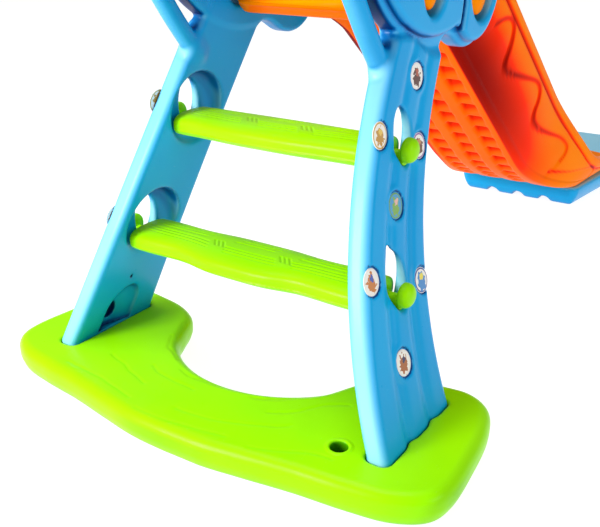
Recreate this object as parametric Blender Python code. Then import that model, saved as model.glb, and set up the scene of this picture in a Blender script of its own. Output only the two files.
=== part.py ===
"""Toddler slide: blow-moulded side panels, steps, slide bed, ladder base and landing foot.

The shapes are worked out in millimetres in the ladder's frame: X runs forward from the
ladder to the end of the slide, with zero at the rear edge of the side panels where they
leave the base, Y points to the left side, and Z is up from the floor. One empty carries
every piece, and moves the origin to the middle of the footprint.
"""
import math

import bmesh
import bpy
from mathutils import Vector

MM = 0.001
GAP = 0.4

# Overall extents along X
BASE_REAR = -92.0
FOOT_FRONT = 1775.0
ORIGIN_X = (BASE_REAR + FOOT_FRONT) / 2

# Ladder base: a horseshoe plate, open towards the slide
BASE_HEIGHT = 51.0
BASE_RINGS = ((0, 4), (4, 0), (36, 0), (43.5, 2.2), (48.8, 7.5), (51, 15))
BASE_HALF_OUTLINE = [
    (-92, 0), (-90, 62), (-80, 128), (-68, 200), (-60, 272), (-48, 332), (-20, 374), (22, 386),
    (90, 381), (155, 371), (203, 352), (226, 315), (223, 268), (212, 220), (188, 181),
    (145, 158), (105, 137), (74, 100), (53, 52), (46, 0),
]
BASE_SUBDIVISIONS = 3
POCKET_FLOOR = 13.0
POCKET_CLEARANCE = 1.5
FILLER_HOLE = (4.0, -229.0)
FILLER_RADIUS = 12.0
FILLER_DEPTH = 34.0

# Side panels: a bowed rail that leans inwards, and a round head above it
RAIL_TOP = 544.0
RAIL_REAR_SLOPE = 0.4538
RAIL_REAR_BOW = 0.00047
RAIL_FOOT_DEPTH = 181.9
RAIL_DEPTH_TAPER = 0.0514
RAIL_DEPTH_BOW = 0.00012
RAIL_FOOT_HALF_SPACING = 267.3
RAIL_LEAN = 0.2447
RAIL_LEAN_BOW = 0.00035
RAIL_THICKNESS = 34.0
RAIL_NECK_THICKNESS = 27.0
RAIL_CORNER = 11.0
RAIL_CORNER_ANGLES = (0, 30, 60, 90)
RAIL_OUTER_SHARES = (0.07, 0.16, 0.26, 0.31, 0.36, 0.41, 0.48, 0.56, 0.65, 0.70, 0.75, 0.84, 0.93)
RAIL_NECK_REAR_Z = 536.0
RAIL_NECK_DROP = 35.0
RAIL_NECK_BLEND = 8.0
FLUTE_DEPTH = 4.5
FLUTE_PLACES = (0.36, 0.70)
FLUTE_WIDTH = 0.055
RAIL_STATIONS = (14, 50, 90, 135, 185, 235, 290, 345, 400, 450, 490, 508, 524, 545, 600)

HEAD_INNER = 146.4
HEAD_WEB_OUTER = 176.0
HEAD_PAD_OUTER = 190.0
HEAD_DISC = (328.0, 725.0, 209.0, 209.0)
HEAD_LOBE = (450.0, 625.0, 98.0, 132.0)
PAD_INSET = 9.0
PAD_EDGE = 6.0
WEB_EDGE = 6.0
HEAD_SEGMENTS = 40
PAD_GROOVE_X = 397.0
PAD_GROOVE_WIDTH = 9.0
PAD_GROOVE_DEPTH = 11.0
PAD_GROOVE_SPAN = (480.0, 960.0)
LOBE_SEGMENTS = 32
LOBE_PROUD = 0.3
REAR_WINDOW = (305.0, 611.0, 38.0, 58.0)
FRONT_WINDOW = (467.0, 592.0, 45.0, 62.0)
HANDLE_WIDTH = 30.0
HANDLE_THICKNESS = 27.0
HANDLE_INSET = 1.5
HANDLE_SIDES = 12
HANDLE_ROUTE = [
    (212, 490), (190, 518), (162, 554), (130, 600), (95, 652), (68, 706), (57, 765),
    (68, 824), (104, 874), (158, 906), (216, 916), (262, 900),
]

# Steps and the openings that hold them
STEP_LOWER = (130.0, 213.0)
STEP_UPPER = (205.0, 386.0)
STEP_HALF_THICKNESS = 18.0
STEP_END_HALF_DEPTH = 42.0
STEP_RECESS_DEPTH = 17.0
KNOB_RADIUS = 17.0
KNOB_NECK_RADIUS = 13.5
KNOB_RISE = 6.0
KNOB_PROUD = 17.0
STEP_HOLE_RISE = 23.0
STEP_HOLE_SHIFT = 7.0
STEP_HOLE_HALF = (22.0, 39.0)
STEP_RECESS_HALF = (58.0, 58.0)
STEP_RECESS_SHIFT = 8.0
STEP_RECESS_RISE = 17.0
STEP_HOLE_SEGMENTS = 24
STEP_RECESS_SEGMENTS = 28
STEP_SHOULDER_GAP = 2.0
STEP_SHARES = (0, 0.12, 0.24, 0.36, 0.48, 0.6, 0.72, 0.84, 0.93)
STEP_ROUNDNESS = 2.9
STEP_END_ROUNDNESS = 2.5
STEP_FORWARD_SHARE = 0.3
STEP_END_FLARE = 3.0
STEP_END_FLARE_PLACE = 0.8
STEP_END_FLARE_WIDTH = 40.0
STEP_SHOULDER_RINGS = ((5.0, 6.0, 2.0), (0.0, 15.0, 8.0))
STEP_NECK_START = 0.5
KNOB_PROFILE = ((0.0, 1.0), (0.45, 1.0), (0.7, 0.85), (0.9, 0.55), (1.0, 0.2))
STEP_SIDES = 16
LOWER_BULGE = (10.0, 82.0)
UPPER_BULGE = (8.0, 105.0)

# Foot recess low on each panel's inner face
NOTCH_CENTRE_X = 98.0
NOTCH_HALF_WIDTH = 40.0
NOTCH_TOP = 128.0
NOTCH_DEPTH = 15.0
NOTCH_SEGMENTS = 12

# Slide: deck, bed and run-out in one moulding
DECK_REAR = 280.0
DECK_BOTTOM = 541.0
DECK_THICKNESS = 44.0
DECK_HALF_WIDTH = 143.0
BED_SLOPE = 0.8035
BED_UNDERSIDE_START = 473.0
BED_HALF_WIDTH = 108.0
BED_THICKNESS = 50.0
RUNOUT_RADIUS = 600.0
RUNOUT_BOTTOM = 50.0
RUNOUT_THICKNESS = 15.0
BED_END = 1545.0
BED_END_BULGE = 38.0
RIM_HALF_WIDTH = 144.5
RIM_WIDTH = 22.0
RIM_TOP = 672.0
RIM_SLOPE = 0.775
RIM_LINE = (800.0, 477.0)
RUNOUT_RIM = (1296.0, 112.0)
RUNOUT_RIM_SLOPE = 0.13
BED_STATIONS = (
    280, 285, 296, 320, 345, 400, 465, 482, 505, 540, 590, 690, 810, 890, 960, 1020, 1080,
    1140, 1200, 1260, 1330, 1420, 1490, 1530, 1541, 1545,
)
BED_THINNING = (880.0, 1380.0)
DECK_BLEND = 30.0
DECK_BLEND_END = 800.0
RIM_BLEND = 40.0
DECK_RIM_START = (8.0, 60.0)
REAR_NOSE = (14.0, 22.0)
END_NOSE = (4.0, 1530.0)
NOSE_TOP_SHARE = 0.7
DECK_NARROWING = (465.0, 545.0)
BOTTOM_FLARE = (45.0, 950.0, 1230.0)
BOTTOM_END_FLARE = 12.0
RIM_FLARE = (34.0, 990.0, 1310.0)
RIM_END_FLARE = 6.0
WALL_POINTS = ((0.22, 0.30), (0.5, 0.72), (0.8, 0.97))
INNER_WALL_POINTS = ((0.45, 0.12), (0.8, 0.35))
BOTTOM_ROUNDING = (16.0, 5.0, 15.0)
LIP_HEIGHT = 7.0
LIP_POINTS = ((0.0, 1.0), (5.0, 0.2), (11.0, 0.0), (17.0, 0.2), (RIM_WIDTH, 1.0))
END_BULGE_START = 1440.0
END_BULGE_HALF_WIDTH = 160.0
REAR_LUG = (305.0, 608.0, 27.0, 47.0)
FRONT_LUG = (467.0, 589.0, 35.0, 51.0)
LUG_REACH = 187.0
LUG_COLLAR_REACH = 164.0
WINDOW_SEGMENTS = 28
LUG_START = RIM_HALF_WIDTH - 12.0
LUG_CROWN = ((9.0, 0.0), (4.0, 4.0), (1.0, 11.0), (0.0, 18.0))
LUG_SEGMENTS = 24

# Landing foot under the run-out
FOOT_REAR = 1217.0
FOOT_REAR_HALF_WIDTH = 152.0
FOOT_FRONT_HALF_WIDTH = 206.0
FOOT_FLARE_END = 1690.0
FOOT_RINGS = ((0, 20), (5, 15), (20, 8), (38, 1), (45, 0), (49.6, 6))
FOOT_GROOVES = (-68.0, 0.0, 68.0)
FOOT_GROOVE_HALF = (14.0, 13.0)
FOOT_GROOVE_LENGTH = 160.0
FOOT_GROOVE_SIDES = 16
FOOT_CORNER_ANGLES = (90, 67, 45, 22, 0)
FOOT_REAR_CORNER = 22.0
FOOT_FRONT_CORNER = 85.0

# Round picture labels let into each panel's outer face: x and z of their centres
LABEL_PLACES = [(266, 480), (155, 423), (255, 388), (170, 328), (79, 256), (198, 217), (105, 139)]
LABEL_RADIUS = 18.0
LABEL_SEAT_DEPTH = 3.5
LABEL_THICKNESS = 1.0
LABEL_SIDES = 16

# Screws that hold the panels to the base, and the foot to the slide
PANEL_SCREW_PLACES = (0.24, 0.72)
SCREW_RADIUS = 2.5
SCREW_HEAD_RADIUS = 6.0
SCREW_HEAD_HEIGHT = 4.0
SCREW_SEAT = 6.0
PANEL_SCREW_TOP = 38.0
FOOT_SCREW_PLACES = [(1300, -34), (1300, 34), (1430, -34), (1430, 34)]
FOOT_SCREW_SEAT = 28.0
FOOT_SCREW_TOP = 58.0
SCREW_SIDES = 12

BLUE = (0.0, 0.31, 0.68)
GREEN = (0.33, 0.87, 0.0)
ORANGE = (1.0, 0.24, 0.005)
LABEL_CREAM = (0.8, 0.72, 0.6)
STEEL = (0.45, 0.46, 0.48)


def clear_scene():
    """Remove every object that a new file starts with."""
    for obj in list(bpy.data.objects):
        bpy.data.objects.remove(obj, do_unlink=True)


def smoothstep(low, high, value):
    """Rise from 0 at low to 1 at high with level ends."""
    t = min(max((value - low) / (high - low), 0.0), 1.0)
    return t * t * (3 - 2 * t)


def smooth_min(a, b, radius):
    """Take the smaller of two values, and round the corner between them."""
    h = max(radius - abs(a - b), 0.0) / radius
    return min(a, b) - h * h * radius / 4


def smooth_max(a, b, radius):
    """Take the larger of two values, and round the corner between them."""
    return -smooth_min(-a, -b, radius)


def closed_spline(points, count):
    """Run a smooth closed curve through the points, with count steps between neighbours."""
    result = []
    total = len(points)
    for i in range(total):
        p0, p1, p2, p3 = (Vector(points[(i + k) % total]) for k in (-1, 0, 1, 2))
        for j in range(count):
            t = j / count
            result.append(tuple(0.5 * (2 * p1 + (p2 - p0) * t
                                       + (2 * p0 - 5 * p1 + 4 * p2 - p3) * t * t
                                       + (3 * p1 - p0 - 3 * p2 + p3) * t ** 3)))
    return result


def open_spline(points, count):
    """Run a smooth open curve through the points."""
    padded = [points[0]] + list(points) + [points[-1]]
    result = []
    for i in range(len(points) - 1):
        p0, p1, p2, p3 = (Vector(padded[i + k]) for k in range(4))
        for j in range(count):
            t = j / count
            result.append(0.5 * (2 * p1 + (p2 - p0) * t + (2 * p0 - 5 * p1 + 4 * p2 - p3) * t * t
                                 + (3 * p1 - p0 - 3 * p2 + p3) * t ** 3))
    result.append(Vector(points[-1]))
    return result


def inset_outline(outline, inset):
    """Move the points of a clockwise outline inwards, square to the chord between neighbours."""
    result = []
    for i, (x, y) in enumerate(outline):
        before, after = outline[i - 1], outline[(i + 1) % len(outline)]
        along = Vector((after[0] - before[0], after[1] - before[1])).normalized()
        result.append((x + along.y * inset, y - along.x * inset))
    return result


def plastic(name, colour, roughness=0.3, metallic=0.0):
    """Make a Principled material."""
    material = bpy.data.materials.new(name)
    material.use_nodes = True
    shader = material.node_tree.nodes["Principled BSDF"]
    shader.inputs["Base Color"].default_value = (*colour, 1.0)
    shader.inputs["Roughness"].default_value = roughness
    shader.inputs["Metallic"].default_value = metallic
    material.diffuse_color = (*colour, 1.0)
    return material


def link_mesh(name, bm, parent, material=None, cutter=False):
    """Turn a closed bmesh in millimetres into an object in metres, faces outwards."""
    bmesh.ops.scale(bm, vec=(MM, MM, MM), verts=bm.verts)
    bmesh.ops.recalc_face_normals(bm, faces=bm.faces)
    mesh = bpy.data.meshes.new(name)
    bm.to_mesh(mesh)
    bm.free()
    obj = bpy.data.objects.new(name, mesh)
    bpy.context.scene.collection.objects.link(obj)
    obj.parent = parent
    if cutter:
        obj.hide_render = True
        obj.display_type = "WIRE"
    else:
        mesh.materials.append(material)
        mesh.shade_smooth()
        mesh.set_sharp_from_angle(angle=math.radians(35))
    return obj


def ring_loft(rings, close_ends=True):
    """Join closed rings of equal length with quads, and cap both ends."""
    bm = bmesh.new()
    rows = [[bm.verts.new(point) for point in ring] for ring in rings]
    size = len(rows[0])
    for below, above in zip(rows, rows[1:]):
        for i in range(size):
            j = (i + 1) % size
            bm.faces.new((below[i], below[j], above[j], above[i]))
    if close_ends:
        bm.faces.new(list(reversed(rows[0])))
        bm.faces.new(rows[-1])
    return bm


def add_boolean(target, other, operation):
    """Join or cut one object with another, exactly."""
    modifier = target.modifiers.new(other.name, "BOOLEAN")
    modifier.operation = operation
    modifier.solver = "EXACT"
    modifier.object = other


def ellipse_points(shape, segments, inset=0.0):
    """List points round an ellipse given as centre x, centre z, half width, half height."""
    cx, cz, a, b = shape
    turns = [2 * math.pi * i / segments for i in range(segments)]
    return [(cx + (a - inset) * math.cos(t), cz + (b - inset) * math.sin(t)) for t in turns]


def ellipse_slab(name, shape, side, layers, parent, segments=HEAD_SEGMENTS):
    """Stack ellipses along Y: layers are pairs of distance from the middle and inset."""
    rings = []
    for reach, inset in layers:
        rings.append([(x, side * reach, z) for x, z in ellipse_points(shape, segments, inset)])
    return link_mesh(name, ring_loft(rings), parent, cutter=True)


def vertical_cylinder(name, centre, radius, low, high, parent, sides=SCREW_SIDES):
    """Make an upright cylinder to cut a hole with."""
    cx, cy = centre
    turns = [2 * math.pi * i / sides for i in range(sides)]
    ring = [(cx + radius * math.cos(t), cy + radius * math.sin(t)) for t in turns]
    bm = ring_loft([[(x, y, low) for x, y in ring], [(x, y, high) for x, y in ring]])
    return link_mesh(name, bm, parent, cutter=True)


def rail_rise(z):
    """Height above the base, held between the base and the rail's top."""
    return min(max(z, BASE_HEIGHT), RAIL_TOP) - BASE_HEIGHT


def rail_bow(z):
    """Product that is zero at both ends of the rail, and drives its bow."""
    rise = rail_rise(z)
    return rise * (RAIL_TOP - BASE_HEIGHT - rise)


def rail_rear(z):
    """Place of the rail's rear edge along X; it keeps its slope above the rail's top."""
    extra = max(z - RAIL_TOP, 0.0) * RAIL_REAR_SLOPE
    return RAIL_REAR_SLOPE * rail_rise(z) - RAIL_REAR_BOW * rail_bow(z) + extra


def rail_depth(z):
    """Depth of the rail along X."""
    return RAIL_FOOT_DEPTH - RAIL_DEPTH_TAPER * rail_rise(z) - RAIL_DEPTH_BOW * rail_bow(z)


def rail_inner(z):
    """Distance of the rail's inner face from the middle plane."""
    return RAIL_FOOT_HALF_SPACING - RAIL_LEAN * rail_rise(z) - RAIL_LEAN_BOW * rail_bow(z)


def rail_thickness(share, z):
    """Thickness at a share of the depth: flutes run up it, and it steps in at the neck."""
    flutes = sum(math.exp(-((share - place) / FLUTE_WIDTH) ** 2) for place in FLUTE_PLACES)
    neck_line = RAIL_NECK_REAR_Z - RAIL_NECK_DROP * smoothstep(0.1, 0.9, share)
    neck = smoothstep(neck_line - RAIL_NECK_BLEND, neck_line + RAIL_NECK_BLEND, z)
    full = RAIL_THICKNESS - FLUTE_DEPTH * flutes
    return full + (RAIL_NECK_THICKNESS - full) * neck


def rail_section(z, side, grow=0.0):
    """Outline of a rail at one height, as points in X and Y."""
    rear = rail_rear(z) - grow
    depth = rail_depth(z) + 2 * grow
    inner = rail_inner(z) - grow
    corner = RAIL_CORNER
    arc = [math.radians(a) for a in RAIL_CORNER_ANGLES]
    points = [(corner - corner * math.sin(a), corner - corner * math.cos(a)) for a in arc]
    outer = [(share * depth, rail_thickness(share, z) + 2 * grow) for share in RAIL_OUTER_SHARES]
    rear_side = outer[0][1] - corner
    front_side = outer[-1][1] - corner
    rear_arc = [(corner - corner * math.cos(a), rear_side + corner * math.sin(a)) for a in arc]
    front_arc = [(depth - corner + corner * math.sin(a), front_side + corner * math.cos(a)) for a in arc]
    inner_arc = [(depth - corner + corner * math.cos(a), corner - corner * math.sin(a)) for a in arc]
    loop = points + rear_arc + outer[1:-1] + front_arc + inner_arc
    return [(rear + a, side * (inner + b)) for a, b in loop]


def rail_body(name, side, parent, material):
    """Loft the rail from its plug in the base to the inside of the head."""
    rings = [[(x, y, z) for x, y in rail_section(z, side)] for z in RAIL_STATIONS]
    return link_mesh(name, ring_loft(rings), parent, material)


def handle_loop(name, side, parent):
    """Sweep an oval bar along the grab handle's route behind the head."""
    middle = (HEAD_INNER + HANDLE_INSET + HANDLE_THICKNESS / 2) * side
    route = open_spline(HANDLE_ROUTE, 2)
    turns = [2 * math.pi * i / HANDLE_SIDES for i in range(HANDLE_SIDES)]
    rings = []
    for i, point in enumerate(route):
        ahead = route[min(i + 1, len(route) - 1)] - route[max(i - 1, 0)]
        across = Vector((ahead.y, -ahead.x)).normalized()
        ring = []
        for t in turns:
            spread = across * (HANDLE_WIDTH / 2 * math.cos(t))
            ring.append((point.x + spread.x, middle + HANDLE_THICKNESS / 2 * math.sin(t), point.y + spread.y))
        rings.append(ring)
    return link_mesh(name, ring_loft(rings), parent, cutter=True)


def outer_face_frame(place, side):
    """Centre and outward normal of a spot on a rail's outer face."""
    x, z = place
    tilt = (rail_inner(z - 1) - rail_inner(z + 1)) / 2
    normal = Vector((0, side, tilt)).normalized()
    return Vector((x, side * (rail_inner(z) + RAIL_THICKNESS), z)), normal


def tilted_disc(name, place, side, radius, low, high, parent, material=None):
    """Make a disc square to the rail's outer face, between two depths measured outwards."""
    centre, normal = outer_face_frame(place, side)
    first = Vector((1, 0, 0))
    second = normal.cross(first)
    turns = [2 * math.pi * i / LABEL_SIDES for i in range(LABEL_SIDES)]
    rim = [first * (radius * math.cos(t)) + second * (radius * math.sin(t)) for t in turns]
    rings = [[tuple(centre + normal * level + offset) for offset in rim] for level in (low, high)]
    return link_mesh(name, ring_loft(rings), parent, material, cutter=material is None)


def recess_floor(step_z):
    """Distance of a step recess's floor from the middle plane."""
    return rail_inner(step_z + STEP_HOLE_RISE) + STEP_RECESS_DEPTH


def step_cutters(label, step, side, parent):
    """Make the oval hole for a step's knob and the flared recess for its end."""
    cx, cz = step
    inner = rail_inner(cz + STEP_HOLE_RISE)
    floor = recess_floor(cz)
    hole = (cx + STEP_HOLE_SHIFT, cz + STEP_HOLE_RISE, *STEP_HOLE_HALF)
    hole_cut = ellipse_slab(f"{label}_hole", hole, side, ((inner - 60, 0), (inner + 90, 0)), parent,
                            STEP_HOLE_SEGMENTS)
    recess = (cx + STEP_RECESS_SHIFT, cz + STEP_RECESS_RISE, *STEP_RECESS_HALF)
    layers = ((inner - 30, -1), (inner + 2, 0), (floor - 4, 3), (floor, 7))
    recess_cut = ellipse_slab(f"{label}_recess", recess, side, layers, parent, STEP_RECESS_SEGMENTS)
    return [hole_cut, recess_cut]


def notch_cutter(name, side, parent):
    """Make the arch-topped recess low on the inner face, open to the base."""
    half = NOTCH_HALF_WIDTH
    spring = NOTCH_TOP - half
    arc = [math.pi * i / NOTCH_SEGMENTS for i in range(NOTCH_SEGMENTS + 1)]
    arch = [(NOTCH_CENTRE_X + half * math.cos(a), spring + half * math.sin(a)) for a in arc]
    outline = [(NOTCH_CENTRE_X + half, BASE_HEIGHT + 2)] + arch + [(NOTCH_CENTRE_X - half, BASE_HEIGHT + 2)]
    rings = []
    for reach in (-40.0, NOTCH_DEPTH):
        rings.append([(x, side * (rail_inner(z) + reach), z) for x, z in outline])
    return link_mesh(name, ring_loft(rings), parent, cutter=True)


def pad_groove(name, side, parent):
    """Make the V-shaped groove that parts the two pads of the head."""
    half = PAD_GROOVE_WIDTH / 2
    outer = HEAD_PAD_OUTER + 2
    depth = HEAD_PAD_OUTER - PAD_GROOVE_DEPTH
    section = [(-half - 1, outer), (-half * 0.5, depth), (half * 0.5, depth), (half + 1, outer)]
    rings = [[(PAD_GROOVE_X + a, side * b, z) for a, b in section] for z in PAD_GROOVE_SPAN]
    return link_mesh(name, ring_loft(rings), parent, cutter=True)


def panel_screw_places(side):
    """Where the two screws of a panel enter the base from below."""
    rear = rail_rear(BASE_HEIGHT)
    middle = side * (RAIL_FOOT_HALF_SPACING + RAIL_THICKNESS / 2)
    return [(rear + share * RAIL_FOOT_DEPTH, middle) for share in PANEL_SCREW_PLACES]


def side_panel(side, word, parent, material):
    """Build one side panel: rail, head, pads and grab handle, then its openings."""
    name = f"side_panel_{word}"
    panel = rail_body(name, side, parent, material)
    web = ((HEAD_INNER, WEB_EDGE), (HEAD_INNER + 2, 2), (HEAD_INNER + WEB_EDGE, 0),
           (HEAD_WEB_OUTER - WEB_EDGE, 0), (HEAD_WEB_OUTER - 2, 2), (HEAD_WEB_OUTER, WEB_EDGE))
    lobe_web = tuple((reach + LOBE_PROUD, inset) for reach, inset in web)
    pad = ((HEAD_WEB_OUTER - 8, PAD_INSET - 3), (HEAD_PAD_OUTER - PAD_EDGE, PAD_INSET),
           (HEAD_PAD_OUTER - 2, PAD_INSET + 2), (HEAD_PAD_OUTER, PAD_INSET + PAD_EDGE))
    lobe_pad = tuple((reach - LOBE_PROUD, inset) for reach, inset in pad)
    joins = [
        ellipse_slab(f"{word}_disc", HEAD_DISC, side, web, parent),
        ellipse_slab(f"{word}_lobe", HEAD_LOBE, side, lobe_web, parent, LOBE_SEGMENTS),
        handle_loop(f"{word}_loop", side, parent),
        ellipse_slab(f"{word}_disc_pad", HEAD_DISC, side, pad, parent),
        ellipse_slab(f"{word}_lobe_pad", HEAD_LOBE, side, lobe_pad, parent, LOBE_SEGMENTS),
    ]
    through = ((HEAD_INNER - 12, 0), (HEAD_PAD_OUTER - 4, 0), (HEAD_PAD_OUTER + 4, -4))
    cuts = [
        pad_groove(f"{word}_pad_groove", side, parent),
        ellipse_slab(f"{word}_rear_window", REAR_WINDOW, side, through, parent, WINDOW_SEGMENTS),
        ellipse_slab(f"{word}_front_window", FRONT_WINDOW, side, through, parent, WINDOW_SEGMENTS),
        notch_cutter(f"{word}_notch", side, parent),
    ]
    cuts += step_cutters(f"{word}_lower", STEP_LOWER, side, parent)
    cuts += step_cutters(f"{word}_upper", STEP_UPPER, side, parent)
    for number, place in enumerate(LABEL_PLACES, 1):
        seat = f"{word}_label_seat_{number}"
        cuts.append(tilted_disc(seat, place, side, LABEL_RADIUS + 1, -LABEL_SEAT_DEPTH, 12, parent))
    for number, place in enumerate(panel_screw_places(side), 1):
        pilot = f"{word}_pilot_{number}"
        cuts.append(vertical_cylinder(pilot, place, SCREW_RADIUS + GAP, 0, PANEL_SCREW_TOP + 2, parent))
    for other in joins:
        add_boolean(panel, other, "UNION")
    for other in cuts:
        add_boolean(panel, other, "DIFFERENCE")
    return panel


def base_plate(parent, material):
    """Build the horseshoe base with a pocket for each panel and a filler hole."""
    half = BASE_HALF_OUTLINE
    outline = half + [(x, -y) for x, y in reversed(half[1:-1])]
    ring = closed_spline([(float(x), float(y)) for x, y in outline], BASE_SUBDIVISIONS)
    rings = [[(x, y, level) for x, y in inset_outline(ring, inset)] for level, inset in BASE_RINGS]
    base = link_mesh("base_plate", ring_loft(rings), parent, material)
    cuts = []
    for side, word in ((1, "left"), (-1, "right")):
        plug = rail_section(BASE_HEIGHT, side, POCKET_CLEARANCE)
        pocket = ring_loft([[(x, y, z) for x, y in plug] for z in (POCKET_FLOOR, BASE_HEIGHT + 9)])
        cuts.append(link_mesh(f"{word}_pocket", pocket, parent, cutter=True))
        for number, place in enumerate(panel_screw_places(side), 1):
            label = f"{word}_screw_{number}"
            seat = SCREW_SEAT + GAP
            cuts.append(vertical_cylinder(label + "_seat", place, SCREW_HEAD_RADIUS + 1, -5, seat, parent))
            cuts.append(vertical_cylinder(label + "_hole", place, SCREW_RADIUS + GAP, -5, 30, parent))
    floor = BASE_HEIGHT - FILLER_DEPTH
    cuts.append(vertical_cylinder("filler", FILLER_HOLE, FILLER_RADIUS, floor, 70, parent, 24))
    for other in cuts:
        add_boolean(base, other, "DIFFERENCE")
    return base


def step(name, place, bulge, lobe, parent, material):
    """Loft a step: a fat board with a round knob at each end."""
    cx, cz = place
    shoulder = recess_floor(cz) - STEP_SHOULDER_GAP
    face = rail_inner(cz) + RAIL_THICKNESS
    sections = []
    for share in STEP_SHARES:
        reach = share * shoulder
        middle = bulge * math.exp(-(reach / lobe) ** 4)
        from_end = (reach - STEP_END_FLARE_PLACE * shoulder) / STEP_END_FLARE_WIDTH
        end = STEP_END_FLARE * math.exp(-from_end ** 2)
        depth = STEP_END_HALF_DEPTH + middle + end
        middle_x = cx - middle * STEP_FORWARD_SHARE
        sections.append((reach, depth, STEP_HALF_THICKNESS, middle_x, cz, STEP_ROUNDNESS))
    for back, narrower, thinner in STEP_SHOULDER_RINGS:
        sections.append((shoulder - back, STEP_END_HALF_DEPTH - narrower, STEP_HALF_THICKNESS - thinner, cx, cz,
                         STEP_END_ROUNDNESS))
    knob_x = cx + STEP_HOLE_SHIFT
    knob_z = cz + KNOB_RISE
    neck = KNOB_NECK_RADIUS
    neck_z = cz + STEP_HOLE_RISE - STEP_HOLE_HALF[1] + neck + GAP
    sections.append((shoulder + STEP_NECK_START, neck, neck, knob_x, neck_z, 2))
    sections.append((face - 3, neck, neck, knob_x, neck_z, 2))
    for share, width in KNOB_PROFILE:
        reach = face + 1 + share * (KNOB_PROUD - 1)
        sections.append((reach, KNOB_RADIUS * width, KNOB_RADIUS * width, knob_x, knob_z, 2))
    ordered = [(-s[0], *s[1:]) for s in reversed(sections[1:])] + sections
    turns = [2 * math.pi * i / STEP_SIDES for i in range(STEP_SIDES)]
    rings = []
    for reach, half_x, half_z, mx, mz, power in ordered:
        ring = []
        for t in turns:
            c, s = math.cos(t), math.sin(t)
            ring.append((mx + half_x * math.copysign(abs(c) ** (2 / power), c), reach,
                         mz + half_z * math.copysign(abs(s) ** (2 / power), s)))
        rings.append(ring)
    return link_mesh(name, ring_loft(rings), parent, material)


def bed_line(x):
    """Height of the sloping underside's straight line."""
    return DECK_BOTTOM - BED_SLOPE * (x - BED_UNDERSIDE_START)


def bed_underside(x):
    """Height of the underside: deck, straight slope, then an arc to the level run-out."""
    angle = math.atan(BED_SLOPE)
    arc_start_z = RUNOUT_BOTTOM + RUNOUT_RADIUS * (1 - math.cos(angle))
    arc_start = BED_UNDERSIDE_START + (DECK_BOTTOM - arc_start_z) / BED_SLOPE
    arc_end = arc_start + RUNOUT_RADIUS * math.sin(angle)
    if x <= arc_start:
        return min(DECK_BOTTOM, bed_line(x))
    if x >= arc_end:
        return RUNOUT_BOTTOM
    return RUNOUT_BOTTOM + RUNOUT_RADIUS - math.sqrt(RUNOUT_RADIUS ** 2 - (arc_end - x) ** 2)


def bed_floor(x):
    """Height of the sliding surface."""
    level = DECK_BOTTOM + DECK_THICKNESS
    slope = bed_line(x) + BED_THICKNESS
    thin = BED_THICKNESS + (RUNOUT_THICKNESS - BED_THICKNESS) * smoothstep(*BED_THINNING, x)
    return smooth_min(level, slope, DECK_BLEND) if x < DECK_BLEND_END else bed_underside(x) + thin


def bed_rim(x):
    """Height of the side walls' rims."""
    slope = RIM_LINE[1] - RIM_SLOPE * (x - RIM_LINE[0])
    level = RUNOUT_RIM[1] - RUNOUT_RIM_SLOPE * (x - RUNOUT_RIM[0])
    rim = smooth_min(RIM_TOP, smooth_max(slope, level, RIM_BLEND), RIM_BLEND)
    deck = DECK_BOTTOM + DECK_THICKNESS + 1
    rear = smoothstep(*DECK_RIM_START, x - DECK_REAR)
    return deck + (rim - deck) * rear


def bed_section(x):
    """Outline of the slide at one station, from the middle of its underside round the left wall."""
    under, floor, rim = bed_underside(x), bed_floor(x), bed_rim(x)
    nose = REAR_NOSE[0] * (1 - smoothstep(0, REAR_NOSE[1], x - DECK_REAR))
    nose += END_NOSE[0] * smoothstep(END_NOSE[1], BED_END, x)
    under += nose
    floor -= nose * NOSE_TOP_SHARE
    rim -= nose * NOSE_TOP_SHARE
    bottom = BED_HALF_WIDTH + (DECK_HALF_WIDTH - BED_HALF_WIDTH) * (1 - smoothstep(*DECK_NARROWING, x))
    bottom += BOTTOM_FLARE[0] * smoothstep(*BOTTOM_FLARE[1:], x) - nose
    bottom += BOTTOM_END_FLARE * smoothstep(BOTTOM_FLARE[2], BED_END, x)
    top = RIM_HALF_WIDTH + RIM_FLARE[0] * smoothstep(*RIM_FLARE[1:], x) - nose
    top += RIM_END_FLARE * smoothstep(RIM_FLARE[2], BED_END, x)
    floor_half = min(bottom - 6, top - RIM_WIDTH - 14)
    rise = rim - under
    flat, corner, side = BOTTOM_ROUNDING
    points = [(0, under), (bottom * 0.55, under), (bottom - flat, under),
              (bottom - corner, under + min(corner, rise * 0.1)), (bottom, under + min(side, rise * 0.2))]
    points += [(bottom + (top - bottom) * b, under + rise * a) for a, b in WALL_POINTS]
    lip = min(LIP_HEIGHT, rise * 0.15)
    points += [(top - inset, rim - lip * drop) for inset, drop in LIP_POINTS]
    drop = (rim - lip) - floor
    inside = top - RIM_WIDTH
    points += [(inside - (inside - floor_half) * b, rim - lip - drop * a) for a, b in INNER_WALL_POINTS]
    points += [(floor_half, floor + min(3, max(drop, 0) * 0.1)), (floor_half - 12, floor),
               (floor_half * 0.5, floor), (0, floor)]
    bulge = BED_END_BULGE * smoothstep(END_BULGE_START, BED_END, x)
    return [(x - bulge * (y / END_BULGE_HALF_WIDTH) ** 2, y, z) for y, z in points]


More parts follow.
